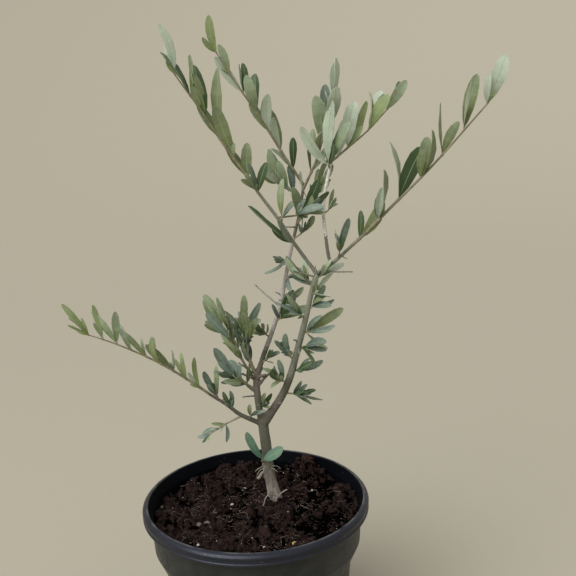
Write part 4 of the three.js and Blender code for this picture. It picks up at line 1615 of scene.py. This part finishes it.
# Dead stubs at the trunk's foot and at its sprout: foot, reach, and radius at foot and tip.
STUBS = [
    ((11, 15, 144), (-6.5, -9, -10), (0.55, 0.35)),
    ((18, 16, 138), (8.5, -2, 8), (0.8, 0.55)),
    ((9, 15, 169), (-9, -5, -3), (0.5, 0.3)),
    ((9, 14, 168), (-8, -5, -5), (0.45, 0.3)),
    ((9, 14, 165), (-7, -6, -5), (0.7, 1.6)),
    ((14, 15, 168), (8, -4, -1), (0.4, 0.2)),
    ((13, 15, 166), (6, -6, -1), (0.4, 0.2)),
    ((8, 14, 167), (-1, -5, -1), (0.7, 0.4)),
    ((12, 14, 164), (1, -4, -2), (0.6, 0.3)),
    ((9, 15, 170), (-3, -5, 2), (0.5, 0.3)),
]


class OLIVE_OT_stubs(bpy.types.Operator):
    """Add the dead stubs at the foot of the trunk"""

    bl_idname = "olive.stubs"
    bl_label = "Add stubs"

    def execute(self, context):
        settings = context.scene.olive_tree
        bm = bmesh.new()
        for n, (foot, reach, (thick, thin)) in enumerate(STUBS):
            spec = {"reach": reach, "bow": (0, 0, 1.2), "wander": 0.5, "seed": n}
            curve = LimbCurve(foot, spec)
            tube(bm, curve, lambda t, _, a=thick, b=thin: between(a, b, t), 8, steps_for(curve, 1))
        material = plain_grain_material("dry wood", settings.dry_wood)
        add_piece("dry_stubs", mesh_of(bm, "dry_stubs"), [material])
        return {"FINISHED"}


# ---------------------------------------------------------------- stage


def add_light(name, light, place):
    """Hangs a light so that it looks at the middle of the plant."""
    lamp = bpy.data.objects.new(name, light)
    lamp.location = place
    lamp.rotation_mode = "QUATERNION"
    lamp.rotation_quaternion = (Vector((0, 0, 0.25)) - lamp.location).to_track_quat("-Z", "Y")
    bpy.context.scene.collection.objects.link(lamp)


def add_softbox(name, place, size, watts, colour):
    """Adds a square soft light."""
    light = bpy.data.lights.new(name, "AREA")
    light.size = size
    light.energy = watts
    light.color = colour
    add_light(name, light, place)


class OLIVE_OT_stage(bpy.types.Operator):
    """Set up the floor, the light and the camera"""

    bl_idname = "olive.stage"
    bl_label = "Set stage"

    def execute(self, context):
        settings = context.scene.olive_stage
        scene = context.scene
        self.add_floor(settings)
        world = bpy.data.worlds.new("studio")
        world.use_nodes = True
        sky = world.node_tree.nodes["Background"]
        sky.inputs["Color"].default_value = (1, 0.99, 0.97, 1)
        sky.inputs["Strength"].default_value = settings.sky
        scene.world = world
        sun = bpy.data.lights.new("sun", "SUN")
        sun.energy = settings.sun
        sun.angle = math.radians(50)
        sun.color = (1, 0.985, 0.96)
        add_light("sun", sun, (-0.7, -0.9, 1.5))
        add_softbox("window", (-0.9, -0.9, 1.3), 0.8, 5, (0.97, 0.99, 1))
        scene.view_settings.view_transform = "Standard"
        camera = bpy.data.cameras.new("camera")
        camera.lens = CAMERA["lens"]
        camera.sensor_width = 36
        eye = bpy.data.objects.new("camera", camera)
        eye.matrix_world = (
            Matrix.Translation(Vector(CAMERA["place"]) * MM)
            @ Matrix.Rotation(math.radians(90 - CAMERA["pitch"]), 4, "X")
            @ Matrix.Rotation(math.radians(-CAMERA["roll"]), 4, "Z")
        )
        scene.collection.objects.link(eye)
        scene.camera = eye
        return {"FINISHED"}

    def add_floor(self, settings):
        """Adds a round floor that curves up all round."""
        flat, sweep = settings.flat / MM, settings.sweep / MM
        bend = [
            (flat + sweep * math.sin(a), sweep * (1 - math.cos(a)) - FLOOR["under"])
            for a in (math.radians(FLOOR["step"] * n) for n in range(FLOOR["steps"]))
        ]
        bm = spun([(0, -FLOOR["under"]), *bend], FLOOR["sides"])
        floor = bpy.data.objects.new("floor", mesh_of(bm, "floor"))
        floor.data.shade_smooth()
        surface = Surface("floor", Base_Color=(*settings.floor, 1))
        surface.grained(scale=300, strength=0.05, distance=0.0005, smooth=0.7, rough=0.9)
        floor.data.materials.append(surface.material)
        bpy.context.scene.collection.objects.link(floor)


# ---------------------------------------------------------------- panel and registration


class OLIVE_PT_panel(bpy.types.Panel):
    """Steps that make the potted olive tree"""

    bl_label = "Olive tree"
    bl_idname = "OLIVE_PT_panel"
    bl_space_type = "VIEW_3D"
    bl_region_type = "UI"
    bl_category = "Olive tree"

    def draw(self, context):
        scene = context.scene
        for settings in (scene.olive_tree, scene.olive_pot, scene.olive_stage):
            box = self.layout.box()
            for name in settings.__annotations__:
                box.prop(settings, name)
        for operator in OPERATORS:
            self.layout.operator(operator.bl_idname)


OPERATORS = (
    OLIVE_OT_stage,
    OLIVE_OT_pot,
    OLIVE_OT_compost,
    OLIVE_OT_wood,
    OLIVE_OT_stubs,
    OLIVE_OT_shoots,
    OLIVE_OT_leaves,
)
CLASSES = (OliveTreeSettings, OlivePotSettings, OliveStageSettings, *OPERATORS, OLIVE_PT_panel)


def register():
    """Registers the classes and puts the settings on the scene."""
    for each in CLASSES:
        bpy.utils.register_class(each)
    bpy.types.Scene.olive_tree = PointerProperty(type=OliveTreeSettings)
    bpy.types.Scene.olive_pot = PointerProperty(type=OlivePotSettings)
    bpy.types.Scene.olive_stage = PointerProperty(type=OliveStageSettings)


def unregister():
    """Takes the settings and the classes away again."""
    for name in ("olive_tree", "olive_pot", "olive_stage"):
        delattr(bpy.types.Scene, name)
    for each in reversed(CLASSES):
        bpy.utils.unregister_class(each)


def main():
    """Makes the whole scene."""
    register()
    bpy.ops.olive.stage()
    bpy.ops.olive.pot()
    bpy.ops.olive.compost()
    bpy.ops.olive.wood()
    bpy.ops.olive.stubs()
    bpy.ops.olive.shoots()
    bpy.ops.olive.leaves()
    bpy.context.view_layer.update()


if __name__ == "__main__":
    main()
